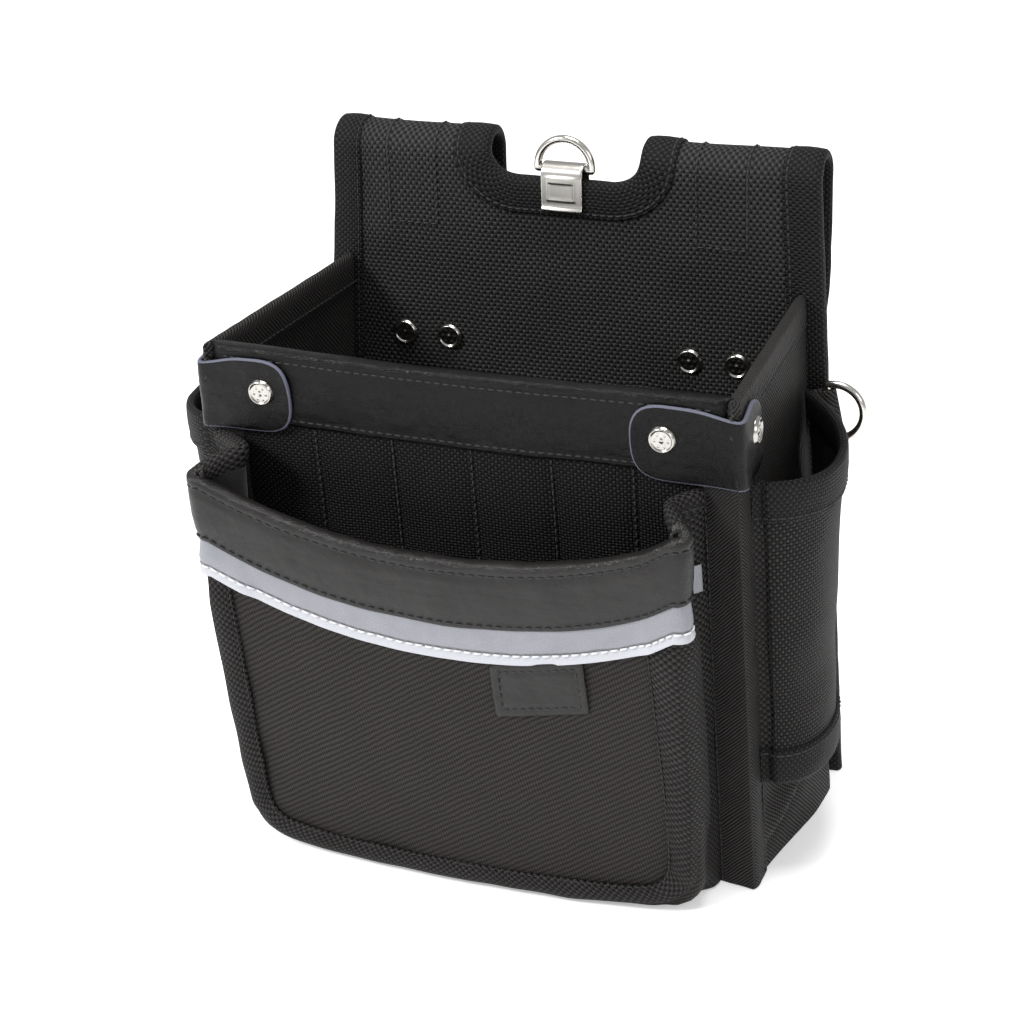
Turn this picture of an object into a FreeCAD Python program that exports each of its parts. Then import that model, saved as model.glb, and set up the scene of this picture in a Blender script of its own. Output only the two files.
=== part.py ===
"""Two-tier tool pouch, worn on a belt: a boxed main pocket, a front pocket and two side pockets.

Frame: millimetres, +Z up, +X to the wearer's left (the viewer's right), -Y towards the viewer.
The origin is the bottom centre of the pouch. Walls are stacks of thin sheets with small gaps.
"""
import FreeCAD, Part
import math
import os
import types

import Sketcher

DIMENSIONS = {
    # back panel, its notch and the two ears that fold over into belt loops
    "back_front_face": 68.0,
    "sheet_thick": 1.2,
    "board_thick": 2.0,
    "back_bottom_half": 128.5,
    "back_top_half": 114.0,
    "ear_fold_height": 281.0,
    "notch_top_half": 37.0,
    "notch_floor_half": 24.0,
    "notch_floor": 272.0,
    "notch_corner_radius": 13.0,
    "fold_radius": 11.0,
    "loop_thick": 2.4,
    "loop_hang_bottom": 230.0,
    "loop_seat_top": 207.0,
    "loop_tail_bottom": 184.0,
    "webbing_inner_x": 60.0,
    "webbing_width": 25.0,
    "webbing_thick": 1.4,
    "webbing_front_bottom": 248.5,
    # tape folded over raw edges
    "tape_thick": 1.2,
    "tape_lap": 14.0,
    "edge_lap": 5.0,
    # main pocket
    "front_foot": -39.0,
    "front_slope": -0.0917,
    "corner_bottom_half": 121.0,
    "corner_top_half": 118.0,
    "side_back_bottom_half": 123.0,
    "side_back_top_half": 110.0,
    "side_thick": 3.0,
    "mouth_height": 229.0,
    "board_inset": 6.0,
    "slot_first": -66.5,
    "slot_pitch": 35.2,
    "slot_bulge": 3.0,
    "slot_bottom": 60.0,
    "slot_height": 120.0,
    "band_bottom": 198.0,
    "band_half": 112.0,
    "leather_thick": 1.4,
    "strap_thick": 1.8,
    "strap_bottom": 195.0,
    "strap_top": 227.0,
    "strap_tip": 74.0,
    "strap_side_reach": 24.0,
    "corner_tape_inner": 104.0,
    "corner_tape_side": 14.0,
    # front pocket
    "pocket_foot": -66.0,
    "pocket_slope": -0.1326,
    "pocket_lift": 0.2,
    "pocket_half": 111.0,
    "pocket_foot_half": 106.0,
    "pocket_corner_radius": 18.0,
    "pocket_end_height": 183.0,
    "pocket_mid_height": 159.5,
    "pocket_band": 30.0,
    "reflector": 14.0,
    "border_width": 13.0,
    "border_thick": 1.5,
    "label_width": 41.0,
    "label_height": 24.0,
    "label_x": 41.2,
    "label_z": 102.5,
    "label_tilt": 11.0,
    # side pockets
    "side_pocket_bottom": 50.0,
    "side_pocket_top": 191.0,
    "side_pocket_back": 54.0,
    "side_pocket_front_low": -34.0,
    "side_pocket_front_high": -45.0,
    "side_pocket_front_low_x": 128.0,
    "side_pocket_front_high_x": 125.5,
    "side_pocket_back_low_x": 124.5,
    "side_pocket_back_high_x": 116.5,
    "side_pocket_crown_low": 135.5,
    "side_pocket_crown_high": 142.5,
    "side_pocket_thick": 1.8,
    "rim_tape": 16.0,
    # rivets
    "rivet_cap_radius": 6.0,
    "rivet_crown_radius": 4.4,
    "rivet_cap_height": 2.0,
    "rivet_post_radius": 2.0,
    "rivet_hole_radius": 2.2,
    "back_rivet_inner_x": 57.7,
    "back_rivet_outer_x": 79.7,
    "back_rivet_height": 193.7,
    "strap_rivet_x": 88.0,
    "strap_rivet_height": 211.0,
    "side_rivet_y": -42.0,
    # D-rings and what holds them
    "wire_radius": 1.75,
    "ring_half": 12.45,
    "ring_leg": 1.1,
    "clip_half": 9.75,
    "clip_bottom": 261.0,
    "clip_shoulder": 276.0,
    "clip_thick": 1.2,
    "clip_outer_half": 5.4,
    "ring_bar_height": 278.2,
    "tab_half": 9.75,
    "tab_bore_radius": 2.0,
    "tab_eye_radius": 3.1,
    "tab_plate_thick": 2.4,
    "side_bar_x": 124.6,
    "side_bar_y": 62.6,
    "side_bar_z": 181.0,
    "side_bar_tilt": 12.0,
}
LEFT, RIGHT = -1, 1
SIDES = {"left": LEFT, "right": RIGHT}
FIT_GAP = 0.1


class Size:
    """A length that carries its number and the sheet expression that drives it."""

    def __init__(self, text, value):
        self.text = text
        self.value = value

    def combine(self, sign, other, value):
        return Size(f"({self.text} {sign} {as_size(other).text})", value)

    def __add__(self, other):
        return self.combine("+", other, self.value + as_size(other).value)

    def __sub__(self, other):
        return self.combine("-", other, self.value - as_size(other).value)

    def __mul__(self, other):
        return self.combine("*", other, self.value * as_size(other).value)

    def __truediv__(self, other):
        return self.combine("/", other, self.value / as_size(other).value)

    def __neg__(self):
        return self * -1

    def __radd__(self, other):
        return as_size(other) + self

    def __rsub__(self, other):
        return as_size(other) - self

    def __rmul__(self, other):
        return as_size(other) * self


def as_size(number):
    if isinstance(number, Size):
        return number
    return Size(f"({float(number):.9f})", float(number))


doc = FreeCAD.newDocument("tool_pouch")
d = types.SimpleNamespace(**{name: Size(f"dims.{name}", value) for name, value in DIMENSIONS.items()})
nodes = []


def fill_sheet():
    sheet = doc.addObject("Spreadsheet::Sheet", "dims")
    for row, (name, value) in enumerate(DIMENSIONS.items(), start=1):
        sheet.set(f"A{row}", name)
        sheet.set(f"B{row}", str(value))
        sheet.setAlias(f"B{row}", name)
    doc.recompute()


# ---------------------------------------------------------------- building blocks


def keep(item, label):
    """Mark an object as a piece of the pouch: its label names its file."""
    item.Label = label
    nodes.append(item)
    return item


def bind(item, path, length):
    item.setExpression(path, as_size(length).text)


def new_body(name):
    return doc.addObject("PartDesign::Body", name)


def origin_plane(body, role):
    for feature in body.Origin.OriginFeatures:
        if feature.Role == role:
            return feature
    raise ValueError(role)


def arc_between(start, end, radius):
    """The minor arc from start to end; a positive radius bulges to the right of travel.

    The arc itself always runs anticlockwise, so a negative radius starts it at the end point.
    """
    chord = end - start
    half = chord.Length / 2
    along = FreeCAD.Vector(chord).normalize()
    left = FreeCAD.Vector(-along.y, along.x, 0)
    height = math.sqrt(radius * radius - half * half)
    centre = (start + end) / 2 + left * math.copysign(height, radius)
    first, last = (start, end) if radius > 0 else (end, start)
    first_angle = math.atan2(first.y - centre.y, first.x - centre.x)
    last_angle = math.atan2(last.y - centre.y, last.x - centre.x)
    if last_angle < first_angle:
        last_angle += 2 * math.pi
    circle = Part.Circle(centre, FreeCAD.Vector(0, 0, 1), abs(radius))
    return Part.ArcOfCircle(circle, first_angle, last_angle)


def outline(body, role, points, level=0):
    """A closed sketch on an origin plane of the body, moved by level along the plane's normal.

    A point is (u, v), or (u, v, radius) where the edge that leaves it is an arc.
    """
    sketch = body.newObject("Sketcher::SketchObject", f"{body.Name}_outline")
    sketch.AttachmentSupport = [(origin_plane(body, role), "")]
    sketch.MapMode = "FlatFace"
    bind(sketch, "AttachmentOffset.Base.z", level)
    corners = [FreeCAD.Vector(as_size(p[0]).value, as_size(p[1]).value, 0) for p in points]
    count = len(points)
    for index, point in enumerate(points):
        start = corners[index]
        end = corners[(index + 1) % count]
        if len(point) == 3:
            sketch.addGeometry(arc_between(start, end, as_size(point[2]).value))
        else:
            sketch.addGeometry(Part.LineSegment(start, end))
    ends = [(2, 1) if len(p) == 3 and as_size(p[2]).value < 0 else (1, 2) for p in points]
    for index in range(count):
        following = (index + 1) % count
        sketch.addConstraint(
            Sketcher.Constraint("Coincident", index, ends[index][1], following, ends[following][0])
        )
    for index, point in enumerate(points):
        pin_point(sketch, index, ends[index][0], point)
        if len(point) == 3:
            radius = as_size(point[2])
            magnitude = radius if radius.value > 0 else -radius
            name = sketch.addConstraint(Sketcher.Constraint("Radius", index, magnitude.value))
            bind(sketch, f"Constraints[{name}]", magnitude)
    return sketch


def pin_point(sketch, index, vertex, point):
    for kind, coordinate in (("DistanceX", point[0]), ("DistanceY", point[1])):
        length = as_size(coordinate)
        name = sketch.addConstraint(Sketcher.Constraint(kind, -1, 1, index, vertex, length.value))
        if "dims" in length.text:
            bind(sketch, f"Constraints[{name}]", length)


def pad(body, sketch, length):
    feature = body.newObject("PartDesign::Pad", f"{body.Name}_pad")
    feature.Profile = sketch
    bind(feature, "Length", length)
    sketch.Visibility = False
    return body


def slab(name, points, front, back):
    """A sheet drawn in XZ and filled from y = front to y = back."""
    body = new_body(name)
    return pad(body, outline(body, "XZ_Plane", points, -as_size(back)), back - front)


def plate(name, points, low, height):
    """A sheet drawn in XY and filled upwards from z = low."""
    body = new_body(name)
    return pad(body, outline(body, "XY_Plane", points, low), height)


def run(name, points, left, right):
    """A section drawn in YZ and run from x = left to x = right."""
    body = new_body(name)
    return pad(body, outline(body, "YZ_Plane", points, left), right - left)


def loft(name, section, low, high):
    """A wall ruled between section(low) and section(high), both drawn in XY."""
    body = new_body(name)
    lower = outline(body, "XY_Plane", section(as_size(low)), low)
    upper = outline(body, "XY_Plane", section(as_size(high)), high)
    feature = body.newObject("PartDesign::AdditiveLoft", f"{body.Name}_loft")
    feature.Profile = lower
    feature.Sections = [upper]
    feature.Ruled = True
    return body


def boolean(kind, name, base, tool):
    item = doc.addObject(f"Part::{kind}", name)
    item.Base = base
    item.Tool = tool
    return item


def grouped(name, parts):
    item = doc.addObject("Part::Compound", name)
    item.Links = parts
    return item


def fused(name, parts):
    item = doc.addObject("Part::MultiFuse", name)
    item.Shapes = parts
    return item


def turned(along):
    """The rotation that takes +Z to the given direction."""
    return FreeCAD.Rotation(FreeCAD.Vector(0, 0, 1), FreeCAD.Vector(*along))


def place(item, position, rotation):
    """Put an object at a bound position, turned by a fixed rotation."""
    item.Placement = FreeCAD.Placement(FreeCAD.Vector(0, 0, 0), rotation)
    for axis, length in zip("xyz", position):
        bind(item, f"Placement.Base.{axis}", length)
    return item


def cylinder(name, radius, height, position, rotation):
    item = doc.addObject("Part::Cylinder", name)
    bind(item, "Radius", radius)
    bind(item, "Height", height)
    return place(item, position, rotation)


def cone(name, base_radius, top_radius, height, position, rotation):
    item = doc.addObject("Part::Cone", name)
    bind(item, "Radius1", base_radius)
    bind(item, "Radius2", top_radius)
    bind(item, "Height", height)
    return place(item, position, rotation)


def sideways(side, points):
    """Points given for the right-hand side, mirrored when side is LEFT."""
    return [(side * p[0], p[1]) + tuple(side * r for r in p[2:]) for p in points]


def between(low_value, high_value, low_height, high_height, height):
    """A size that changes evenly with height."""
    share = (as_size(height) - low_height) / (as_size(high_height) - low_height)
    return low_value + (high_value - low_value) * share


# ---------------------------------------------------------------- where the walls stand


def front_face(height):
    return d.front_foot + d.front_slope * height


def corner_half(height):
    return between(d.corner_bottom_half, d.corner_top_half, 0, d.mouth_height, height)


def side_back_half(height):
    return between(d.side_back_bottom_half, d.side_back_top_half, 0, d.mouth_height, height)


def back_half(height):
    return between(d.back_bottom_half, d.back_top_half, 0, d.ear_fold_height, height)


def pocket_face(height):
    return d.pocket_foot + d.pocket_slope * height


FRONT_LEAN = FreeCAD.Rotation(FreeCAD.Vector(1, 0, 0), -math.degrees(math.atan(d.front_slope.value)))
POCKET_LEAN = FreeCAD.Rotation(FreeCAD.Vector(1, 0, 0), -math.degrees(math.atan(d.pocket_slope.value)))
BACK_SHEETS = d.sheet_thick * 2 + d.board_thick
BACK_REAR_FACE = d.back_front_face + BACK_SHEETS


# ---------------------------------------------------------------- rivets


def rivet(name, face, grip, direction):
    """A capped rivet: cap on the face, post through the grip, and a flat head behind it."""
    inward = FreeCAD.Vector(*direction).normalize()
    facing = turned(direction)
    outward = turned(-inward)
    cap = cone(f"{name}_cap", d.rivet_cap_radius, d.rivet_crown_radius, d.rivet_cap_height, face, outward)
    post = cylinder(f"{name}_post", d.rivet_post_radius, grip, face, facing)
    foot = [along + part * grip for along, part in zip(face, inward)]
    head = cone(f"{name}_head", d.rivet_cap_radius, d.rivet_crown_radius, d.rivet_cap_height, foot, facing)
    start = [along - part * 10 for along, part in zip(face, inward)]
    hole = cylinder(f"{name}_hole", d.rivet_hole_radius, grip + 20, start, facing)
    return cap, fused(f"{name}_shank", [post, head]), hole


def rivets(label, places):
    """Rivets that share two nodes, and the holes that their posts need."""
    caps, shanks, holes = [], [], []
    for index, (face, grip, direction) in enumerate(places):
        cap, shank, hole = rivet(f"{label}_{index}", face, grip, direction)
        caps.append(cap)
        shanks.append(shank)
        holes.append(hole)
    keep(grouped(f"{label}_cap_group", caps), f"{label}_caps")
    keep(grouped(f"{label}_post_group", shanks), f"{label}_posts")
    return grouped(f"{label}_holes", holes)


def back_rivets():
    grip = BACK_SHEETS + d.webbing_thick + d.loop_thick + 3 * FIT_GAP
    places = []
    for side in SIDES.values():
        for reach in (d.back_rivet_inner_x, d.back_rivet_outer_x):
            face = (side * reach, d.back_front_face - FIT_GAP, d.back_rivet_height)
            places.append((face, grip, (0, 1, 0)))
    return rivets("back_rivet", places)


def strap_rivets():
    """Two rivets in each corner strap: one through the front wall, one through the side wall."""
    stack = d.leather_thick + d.strap_thick + 3 * FIT_GAP
    wall = d.sheet_thick * 2 + d.board_thick + 4 * FIT_GAP
    places = []
    for side in SIDES.values():
        front = front_face(d.strap_rivet_height) - stack
        face = (side * d.strap_rivet_x, front, d.strap_rivet_height)
        places.append((face, stack + wall, (0, 1, -d.front_slope.value)))
    for side in SIDES.values():
        reach = side_face(d.side_rivet_y, d.strap_rivet_height) + d.strap_thick + 4 * FIT_GAP
        face = (side * reach, d.side_rivet_y, d.strap_rivet_height)
        grip = d.strap_thick + d.side_thick + 6 * FIT_GAP
        places.append((face, grip, (-side, -side_taper(), 0)))
    return rivets("strap_rivet", places)


def side_taper():
    """How much the side wall comes in per millimetre towards the back, at strap height."""
    height = d.strap_rivet_height
    run_in = corner_half(height) - side_back_half(height)
    return (run_in / (d.back_front_face - front_face(height))).value


def side_face(depth, height):
    """The half-width of the side wall's outer face at a depth and height."""
    return corner_half(height) - (depth - front_face(height)) * side_taper()


# ---------------------------------------------------------------- back panel and belt loops


def back_outline():
    return [
        (-d.back_bottom_half, 0),
        (d.back_bottom_half, 0),
        (d.back_top_half, d.ear_fold_height),
        (d.notch_top_half, d.ear_fold_height, -d.notch_corner_radius),
        (d.notch_floor_half, d.notch_floor),
        (-d.notch_floor_half, d.notch_floor, -d.notch_corner_radius),
        (-d.notch_top_half, d.ear_fold_height),
        (-d.back_top_half, d.ear_fold_height),
    ]


def back_board_outline():
    top = d.notch_floor - d.tape_lap - d.board_inset
    low = d.back_bottom_half - d.side_thick - d.board_inset
    high = back_half(top) - d.side_thick - d.board_inset
    return [(-low, d.board_inset), (low, d.board_inset), (high, top), (-high, top)]


def back_panels(holes):
    board_front = d.back_front_face + d.sheet_thick
    rear_front = board_front + d.board_thick
    face = slab("back_face", back_outline(), d.back_front_face, board_front)
    board = slab("back_board", back_board_outline(), board_front, rear_front)
    rear = slab("back_rear", back_outline(), rear_front, BACK_REAR_FACE)
    keep(boolean("Cut", "back_face_drilled", face, holes), "back_face_panel")
    keep(boolean("Cut", "back_board_drilled", board, holes), "back_stiffener_board")
    keep(boolean("Cut", "back_rear_drilled", rear, holes), "back_rear_panel")


def back_bindings():
    """Tapes folded over the back panel's sides and notch: blanks cut by the panel itself."""
    front = d.back_front_face - d.tape_thick
    back = BACK_REAR_FACE + d.tape_thick
    for name, side in SIDES.items():
        core = slab(f"edge_core_{name}", back_outline(), d.back_front_face, BACK_REAR_FACE)
        strip = [
            (d.back_bottom_half - d.edge_lap, 0),
            (d.back_bottom_half + d.tape_thick, 0),
            (d.back_top_half + d.tape_thick, d.ear_fold_height),
            (d.back_top_half - d.edge_lap, d.ear_fold_height),
        ]
        blank = slab(f"edge_blank_{name}", sideways(side, strip), front, back)
        keep(boolean("Cut", f"edge_tape_{name}", blank, core), f"back_edge_binding_{name}")
    core = slab("notch_core", back_outline(), d.back_front_face, BACK_REAR_FACE)
    lip = d.notch_floor + d.tape_thick
    seam = d.notch_floor - d.tape_lap
    top_in = d.notch_top_half - d.tape_thick
    top_out = d.notch_top_half + d.tape_lap
    strip = [
        (top_in, d.ear_fold_height, -d.notch_corner_radius),
        (d.notch_floor_half - d.tape_thick, lip),
        (-d.notch_floor_half + d.tape_thick, lip, -d.notch_corner_radius),
        (-top_in, d.ear_fold_height),
        (-top_out, d.ear_fold_height, d.notch_corner_radius + d.tape_lap),
        (-d.notch_floor_half, seam),
        (d.notch_floor_half, seam, d.notch_corner_radius + d.tape_lap),
        (top_out, d.ear_fold_height),
    ]
    blank = slab("notch_blank", strip, front, back)
    keep(boolean("Cut", "notch_tape", blank, core), "notch_binding")


def loop_section(front, seat, thick, radius, front_bottom):
    """A strap folded over the top of the ear: up the front, round the fold and down to its tail."""
    axis = d.back_front_face + d.fold_radius
    inner = radius - thick
    return [
        (front, front_bottom),
        (front, d.ear_fold_height, -radius),
        (axis, d.ear_fold_height + radius, -radius),
        (axis + radius, d.ear_fold_height),
        (axis + radius - 1, d.loop_hang_bottom),
        (seat + thick, d.loop_seat_top),
        (seat + thick, d.loop_tail_bottom),
        (seat, d.loop_tail_bottom),
        (seat, d.loop_seat_top),
        (axis + inner - 1, d.loop_hang_bottom),
        (axis + inner, d.ear_fold_height, inner),
        (axis, d.ear_fold_height + inner, inner),
        (axis - inner, d.ear_fold_height),
        (axis - inner, front_bottom),
    ]


def belt_loops(holes):
    """Each ear's fold and flap, and the narrow webbing that backs it inside the tunnel."""
    seat = BACK_REAR_FACE + FIT_GAP
    webbing_radius = d.fold_radius - BACK_SHEETS - FIT_GAP
    for name, side in SIDES.items():
        flap = loop_section(
            d.back_front_face, seat + d.webbing_thick + FIT_GAP, d.loop_thick, d.fold_radius,
            d.ear_fold_height,
        )
        flap = [p for i, p in enumerate(flap) if i not in (0, len(flap) - 1)]
        web = loop_section(seat, seat, d.webbing_thick, webbing_radius, d.webbing_front_bottom)
        start, end = sorted((side * d.notch_top_half, side * d.back_top_half), key=lambda s: s.value)
        loop = run(f"loop_{name}", flap, start, end)
        near = side * d.webbing_inner_x
        far = side * (d.webbing_inner_x + d.webbing_width)
        start, end = sorted((near, far), key=lambda s: s.value)
        strap = run(f"loop_strap_{name}", web, start, end)
        keep(boolean("Cut", f"loop_drilled_{name}", loop, holes), f"belt_loop_{name}")
        keep(boolean("Cut", f"loop_strap_drilled_{name}", strap, holes), f"belt_loop_webbing_{name}")


# ---------------------------------------------------------------- main pocket


def side_section(side, height, inward, outward):
    """The side wall in plan at one height, grown inwards and outwards."""
    front = front_face(height)
    back = d.back_front_face - FIT_GAP
    corner = corner_half(height)
    seam = side_back_half(height)
    return sideways(side, [
        (corner - d.side_thick - inward, front),
        (corner + outward, front),
        (seam + outward, back),
        (seam - d.side_thick - inward, back),
    ])


def side_walls(holes):
    for name, side in SIDES.items():
        def wall(height):
            return side_section(side, height, 0, 0)

        def tape(height):
            return side_section(side, height, d.tape_thick, d.tape_thick)

        panel = loft(f"side_{name}", wall, 0, d.mouth_height)
        keep(boolean("Cut", f"side_drilled_{name}", panel, holes), f"side_panel_{name}")
        core = loft(f"side_core_{name}", wall, 0, d.mouth_height)
        low = d.strap_top + FIT_GAP
        blank = loft(f"side_tape_blank_{name}", tape, low, d.mouth_height + d.tape_thick)
        keep(boolean("Cut", f"side_tape_{name}", blank, core), f"side_top_binding_{name}")


def front_sheet(name, start, thick, inset, low, high):
    """One sheet of the leaning front wall, start millimetres behind its outer face."""
    def section(height):
        half = corner_half(height) - d.side_thick - d.tape_thick - 3 * FIT_GAP - inset
        front = front_face(height) + start
        back = front + thick
        return [(-half, front), (half, front), (half, back), (-half, back)]

    return loft(name, section, low, high)


def front_wall(holes):
    board_start = d.sheet_thick + FIT_GAP
    lining_start = board_start + d.board_thick + FIT_GAP
    panel = front_sheet("front_face_sheet", 0, d.sheet_thick, 0, 0, d.mouth_height)
    board = front_sheet(
        "front_board", board_start, d.board_thick, d.board_inset, d.board_inset,
        d.mouth_height - d.board_inset,
    )
    lining = front_sheet("front_lining", lining_start, d.sheet_thick, 0, 0, d.mouth_height)
    keep(boolean("Cut", "front_face_drilled", panel, holes), "main_front_panel")
    keep(boolean("Cut", "front_board_drilled", board, holes), "main_front_board")
    keep(boolean("Cut", "front_lining_drilled", lining, holes), "main_front_lining")


def tool_slots():
    """One strip sewn down at even seams: it lies almost flat until a tool spreads a slot."""
    start = d.sheet_thick * 2 + d.board_thick + 3 * FIT_GAP
    thick = d.sheet_thick
    half = d.corner_top_half - d.side_thick - 3
    seams = [-half] + [d.slot_first + d.slot_pitch * k for k in range(5)] + [half]
    ramp = 4
    near, far = [], []
    for left, right in zip(seams, seams[1:]):
        for x, rise in ((left, 0), (left + ramp, d.slot_bulge), (right - ramp, d.slot_bulge)):
            near.append((x, start + rise))
            far.append((x, start + rise + thick))
    near.append((seams[-1], start + 0))
    far.append((seams[-1], start + thick))
    strip = plate("slot_strip", near + far[::-1], d.slot_bottom, d.slot_height)
    keep(place(strip, (0, d.front_foot, 0), FRONT_LEAN), "tool_slot_strip")


def front_band(holes):
    """Leather folded over the front wall's top edge."""
    wall = d.sheet_thick * 2 + d.board_thick + 3 * FIT_GAP
    top = d.mouth_height + FIT_GAP
    rear_bottom = d.strap_rivet_height + d.rivet_cap_radius + 1
    thick = d.leather_thick
    outside = [
        (front_face(d.band_bottom) - thick, d.band_bottom),
        (front_face(top + thick) - thick, top + thick),
        (front_face(top + thick) + wall + thick, top + thick),
        (front_face(rear_bottom) + wall + thick, rear_bottom),
    ]
    inside = [
        (front_face(rear_bottom) + wall, rear_bottom),
        (front_face(top) + wall, top),
        (front_face(top) - FIT_GAP, top),
        (front_face(d.band_bottom) - FIT_GAP, d.band_bottom),
    ]
    band = run("front_band", outside + inside, -d.band_half, d.band_half)
    keep(boolean("Cut", "front_band_drilled", band, holes), "main_front_band")


def corner_straps(holes):
    """Leather straps bent round the mouth's front corners."""
    for name, side in SIDES.items():
        def section(height):
            front = front_face(height) - d.leather_thick - FIT_GAP
            back = front_face(height) + d.strap_side_reach
            inner = corner_half(height) + 2 * FIT_GAP
            taper = (d.strap_side_reach + d.leather_thick) * side_taper()
            return sideways(side, [
                (d.strap_tip, front - d.strap_thick),
                (inner + d.strap_thick, front - d.strap_thick),
                (inner + d.strap_thick - taper, back),
                (inner - taper, back),
                (inner, front),
                (d.strap_tip, front),
            ])

        strap = loft(f"strap_{name}", section, d.strap_bottom, d.strap_top)
        keep(boolean("Cut", f"strap_drilled_{name}", strap, holes), f"corner_strap_{name}")


def corner_tapes():
    """Tape down each front corner, lapped onto the front and the side."""
    for name, side in SIDES.items():
        def section(height):
            front = front_face(height) - FIT_GAP
            back = front_face(height) + d.corner_tape_side
            inner = corner_half(height) + 4 * FIT_GAP
            return sideways(side, [
                (d.corner_tape_inner, front - d.tape_thick),
                (inner + d.tape_thick, front - d.tape_thick),
                (inner + d.tape_thick, back),
                (inner, back),
                (inner, front),
                (d.corner_tape_inner, front),
            ])

        tape = loft(f"corner_tape_{name}", section, 0, d.strap_bottom - FIT_GAP)
        keep(tape, f"front_corner_binding_{name}")


def floor():
    """The pocket's base: an outer sheet with a board lying on it."""
    front = d.front_foot + d.sheet_thick * 2 + d.board_thick + 4 * FIT_GAP
    back = d.back_front_face - 3 * FIT_GAP
    front_half = d.corner_bottom_half - d.side_thick - 3 * FIT_GAP
    back_edge = d.side_back_bottom_half - d.side_thick - 3 * FIT_GAP
    sheet = [(-front_half, front), (front_half, front), (back_edge, back), (-back_edge, back)]
    keep(plate("base_sheet", sheet, 0, d.sheet_thick), "bottom_panel")
    inset = d.board_inset
    board = [
        (-front_half + inset, front + inset),
        (front_half - inset, front + inset),
        (back_edge - inset, back - inset),
        (-back_edge + inset, back - inset),
    ]
    keep(plate("base_board", board, d.sheet_thick, d.board_thick), "bottom_board")


# ---------------------------------------------------------------- front pocket


def smile_radius():
    """The radius of the arc through the pocket rim's two ends and its low middle."""
    rise = d.pocket_end_height - d.pocket_mid_height
    return (d.pocket_half * d.pocket_half + rise * rise) / (rise * 2)


def pocket_outline():
    radius = d.pocket_corner_radius
    return [
        (-d.pocket_foot_half + radius, 0),
        (d.pocket_foot_half - radius, 0, radius),
        (d.pocket_foot_half, radius),
        (d.pocket_half, d.pocket_end_height, -smile_radius()),
        (-d.pocket_half, d.pocket_end_height),
        (-d.pocket_foot_half, radius, radius),
    ]


def smile_strip(top_drop, height):
    """A strip that follows the rim's curve, top_drop below it."""
    high = d.pocket_end_height - top_drop
    low = high - height
    return [
        (d.pocket_half, low),
        (d.pocket_half, high, -smile_radius()),
        (-d.pocket_half, high),
        (-d.pocket_half, low, smile_radius()),
    ]


def pocket_slab(name, points, front, back):
    """A sheet drawn in the pocket's own leaning plane."""
    item = slab(name, points, as_size(front), as_size(back))
    return place(item, (0, d.pocket_foot, d.pocket_lift), POCKET_LEAN)


def front_pocket_face():
    lining_start = d.sheet_thick + FIT_GAP
    lining_back = lining_start + d.sheet_thick
    keep(pocket_slab("pocket_face", pocket_outline(), 0, d.sheet_thick), "front_pocket_panel")
    keep(pocket_slab("pocket_lining", pocket_outline(), lining_start, lining_back), "front_pocket_lining")
    band = smile_strip(0, d.pocket_band)
    keep(pocket_slab("pocket_band", band, -d.leather_thick, 0), "front_pocket_band")
    tape = smile_strip(d.pocket_band + FIT_GAP, d.reflector)
    keep(pocket_slab("pocket_reflector", tape, -d.tape_thick, 0), "reflective_tape")


def front_pocket_border():
    """The gusset's edge turned onto the face: down one side, along the foot and up the other."""
    top = d.pocket_end_height - d.pocket_band - d.reflector - d.border_width * 0.7
    half = between(
        d.pocket_foot_half, d.pocket_half, d.pocket_corner_radius, d.pocket_end_height, top
    )
    width = d.border_width
    radius = d.pocket_corner_radius
    foot = width / 2
    inner = radius - foot
    points = [
        (-d.pocket_foot_half + radius, 0),
        (d.pocket_foot_half - radius, 0, radius),
        (d.pocket_foot_half, radius),
        (half, top),
        (half - width, top),
        (d.pocket_foot_half - width, foot + inner),
        (d.pocket_foot_half - width - inner, foot),
        (-d.pocket_foot_half + width + inner, foot),
        (-d.pocket_foot_half + width, foot + inner),
        (-half + width, top),
        (-half, top),
        (-d.pocket_foot_half, radius, radius),
    ]
    keep(pocket_slab("pocket_border", points, -d.border_thick, 0), "front_pocket_border")


def label():
    """A plain leather patch, sewn on at a slant that follows the tape above it."""
    half_width = d.label_width / 2
    half_height = d.label_height / 2
    corners = [
        (-half_width, -half_height),
        (half_width, -half_height),
        (half_width, half_height),
        (-half_width, half_height),
    ]
    patch = slab("patch", corners, -d.border_thick, as_size(-FIT_GAP))
    slant = FreeCAD.Rotation(FreeCAD.Vector(0, 1, 0), -d.label_tilt.value)
    place(patch, (d.label_x, pocket_face(d.label_z), d.label_z), POCKET_LEAN.multiply(slant))
    keep(patch, "label_patch")


def pocket_gussets():
    """The pocket's ends, pleated inwards at the mouth and nearly flat at the foot."""
    top = d.pocket_end_height + 3
    behind = d.sheet_thick * 2 + 3 * FIT_GAP
    for name, side in SIDES.items():
        def section(height):
            front = pocket_face(height) + behind + 1
            back = front_face(height) - d.tape_thick - 3 * FIT_GAP
            middle = (front + back) / 2
            front_half = between(d.pocket_foot_half, d.pocket_half, 0, top, height) - 1
            apex = between(d.pocket_foot_half + 1, d.pocket_half - 18, 0, top, height)
            back_half_width = between(d.pocket_foot_half + 5, d.pocket_half + 5, 0, top, height)
            thick = between(1.6, 2.6, 0, top, height)
            return sideways(side, [
                (front_half, front),
                (apex, middle),
                (back_half_width, back),
                (back_half_width - thick, back),
                (apex - thick, middle),
                (front_half - thick, front),
            ])

        keep(loft(f"gusset_{name}", section, 0, top), f"front_pocket_gusset_{name}")


def front_pocket_floor():
    front = d.pocket_foot + d.sheet_thick * 2 + 4 * FIT_GAP
    back = d.front_foot - d.tape_thick - 3 * FIT_GAP
    half = d.pocket_foot_half - 3
    corners = [(-half, front), (half, front), (half, back), (-half, back)]
    keep(plate("pocket_base", corners, 0, d.sheet_thick), "front_pocket_floor")


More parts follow.
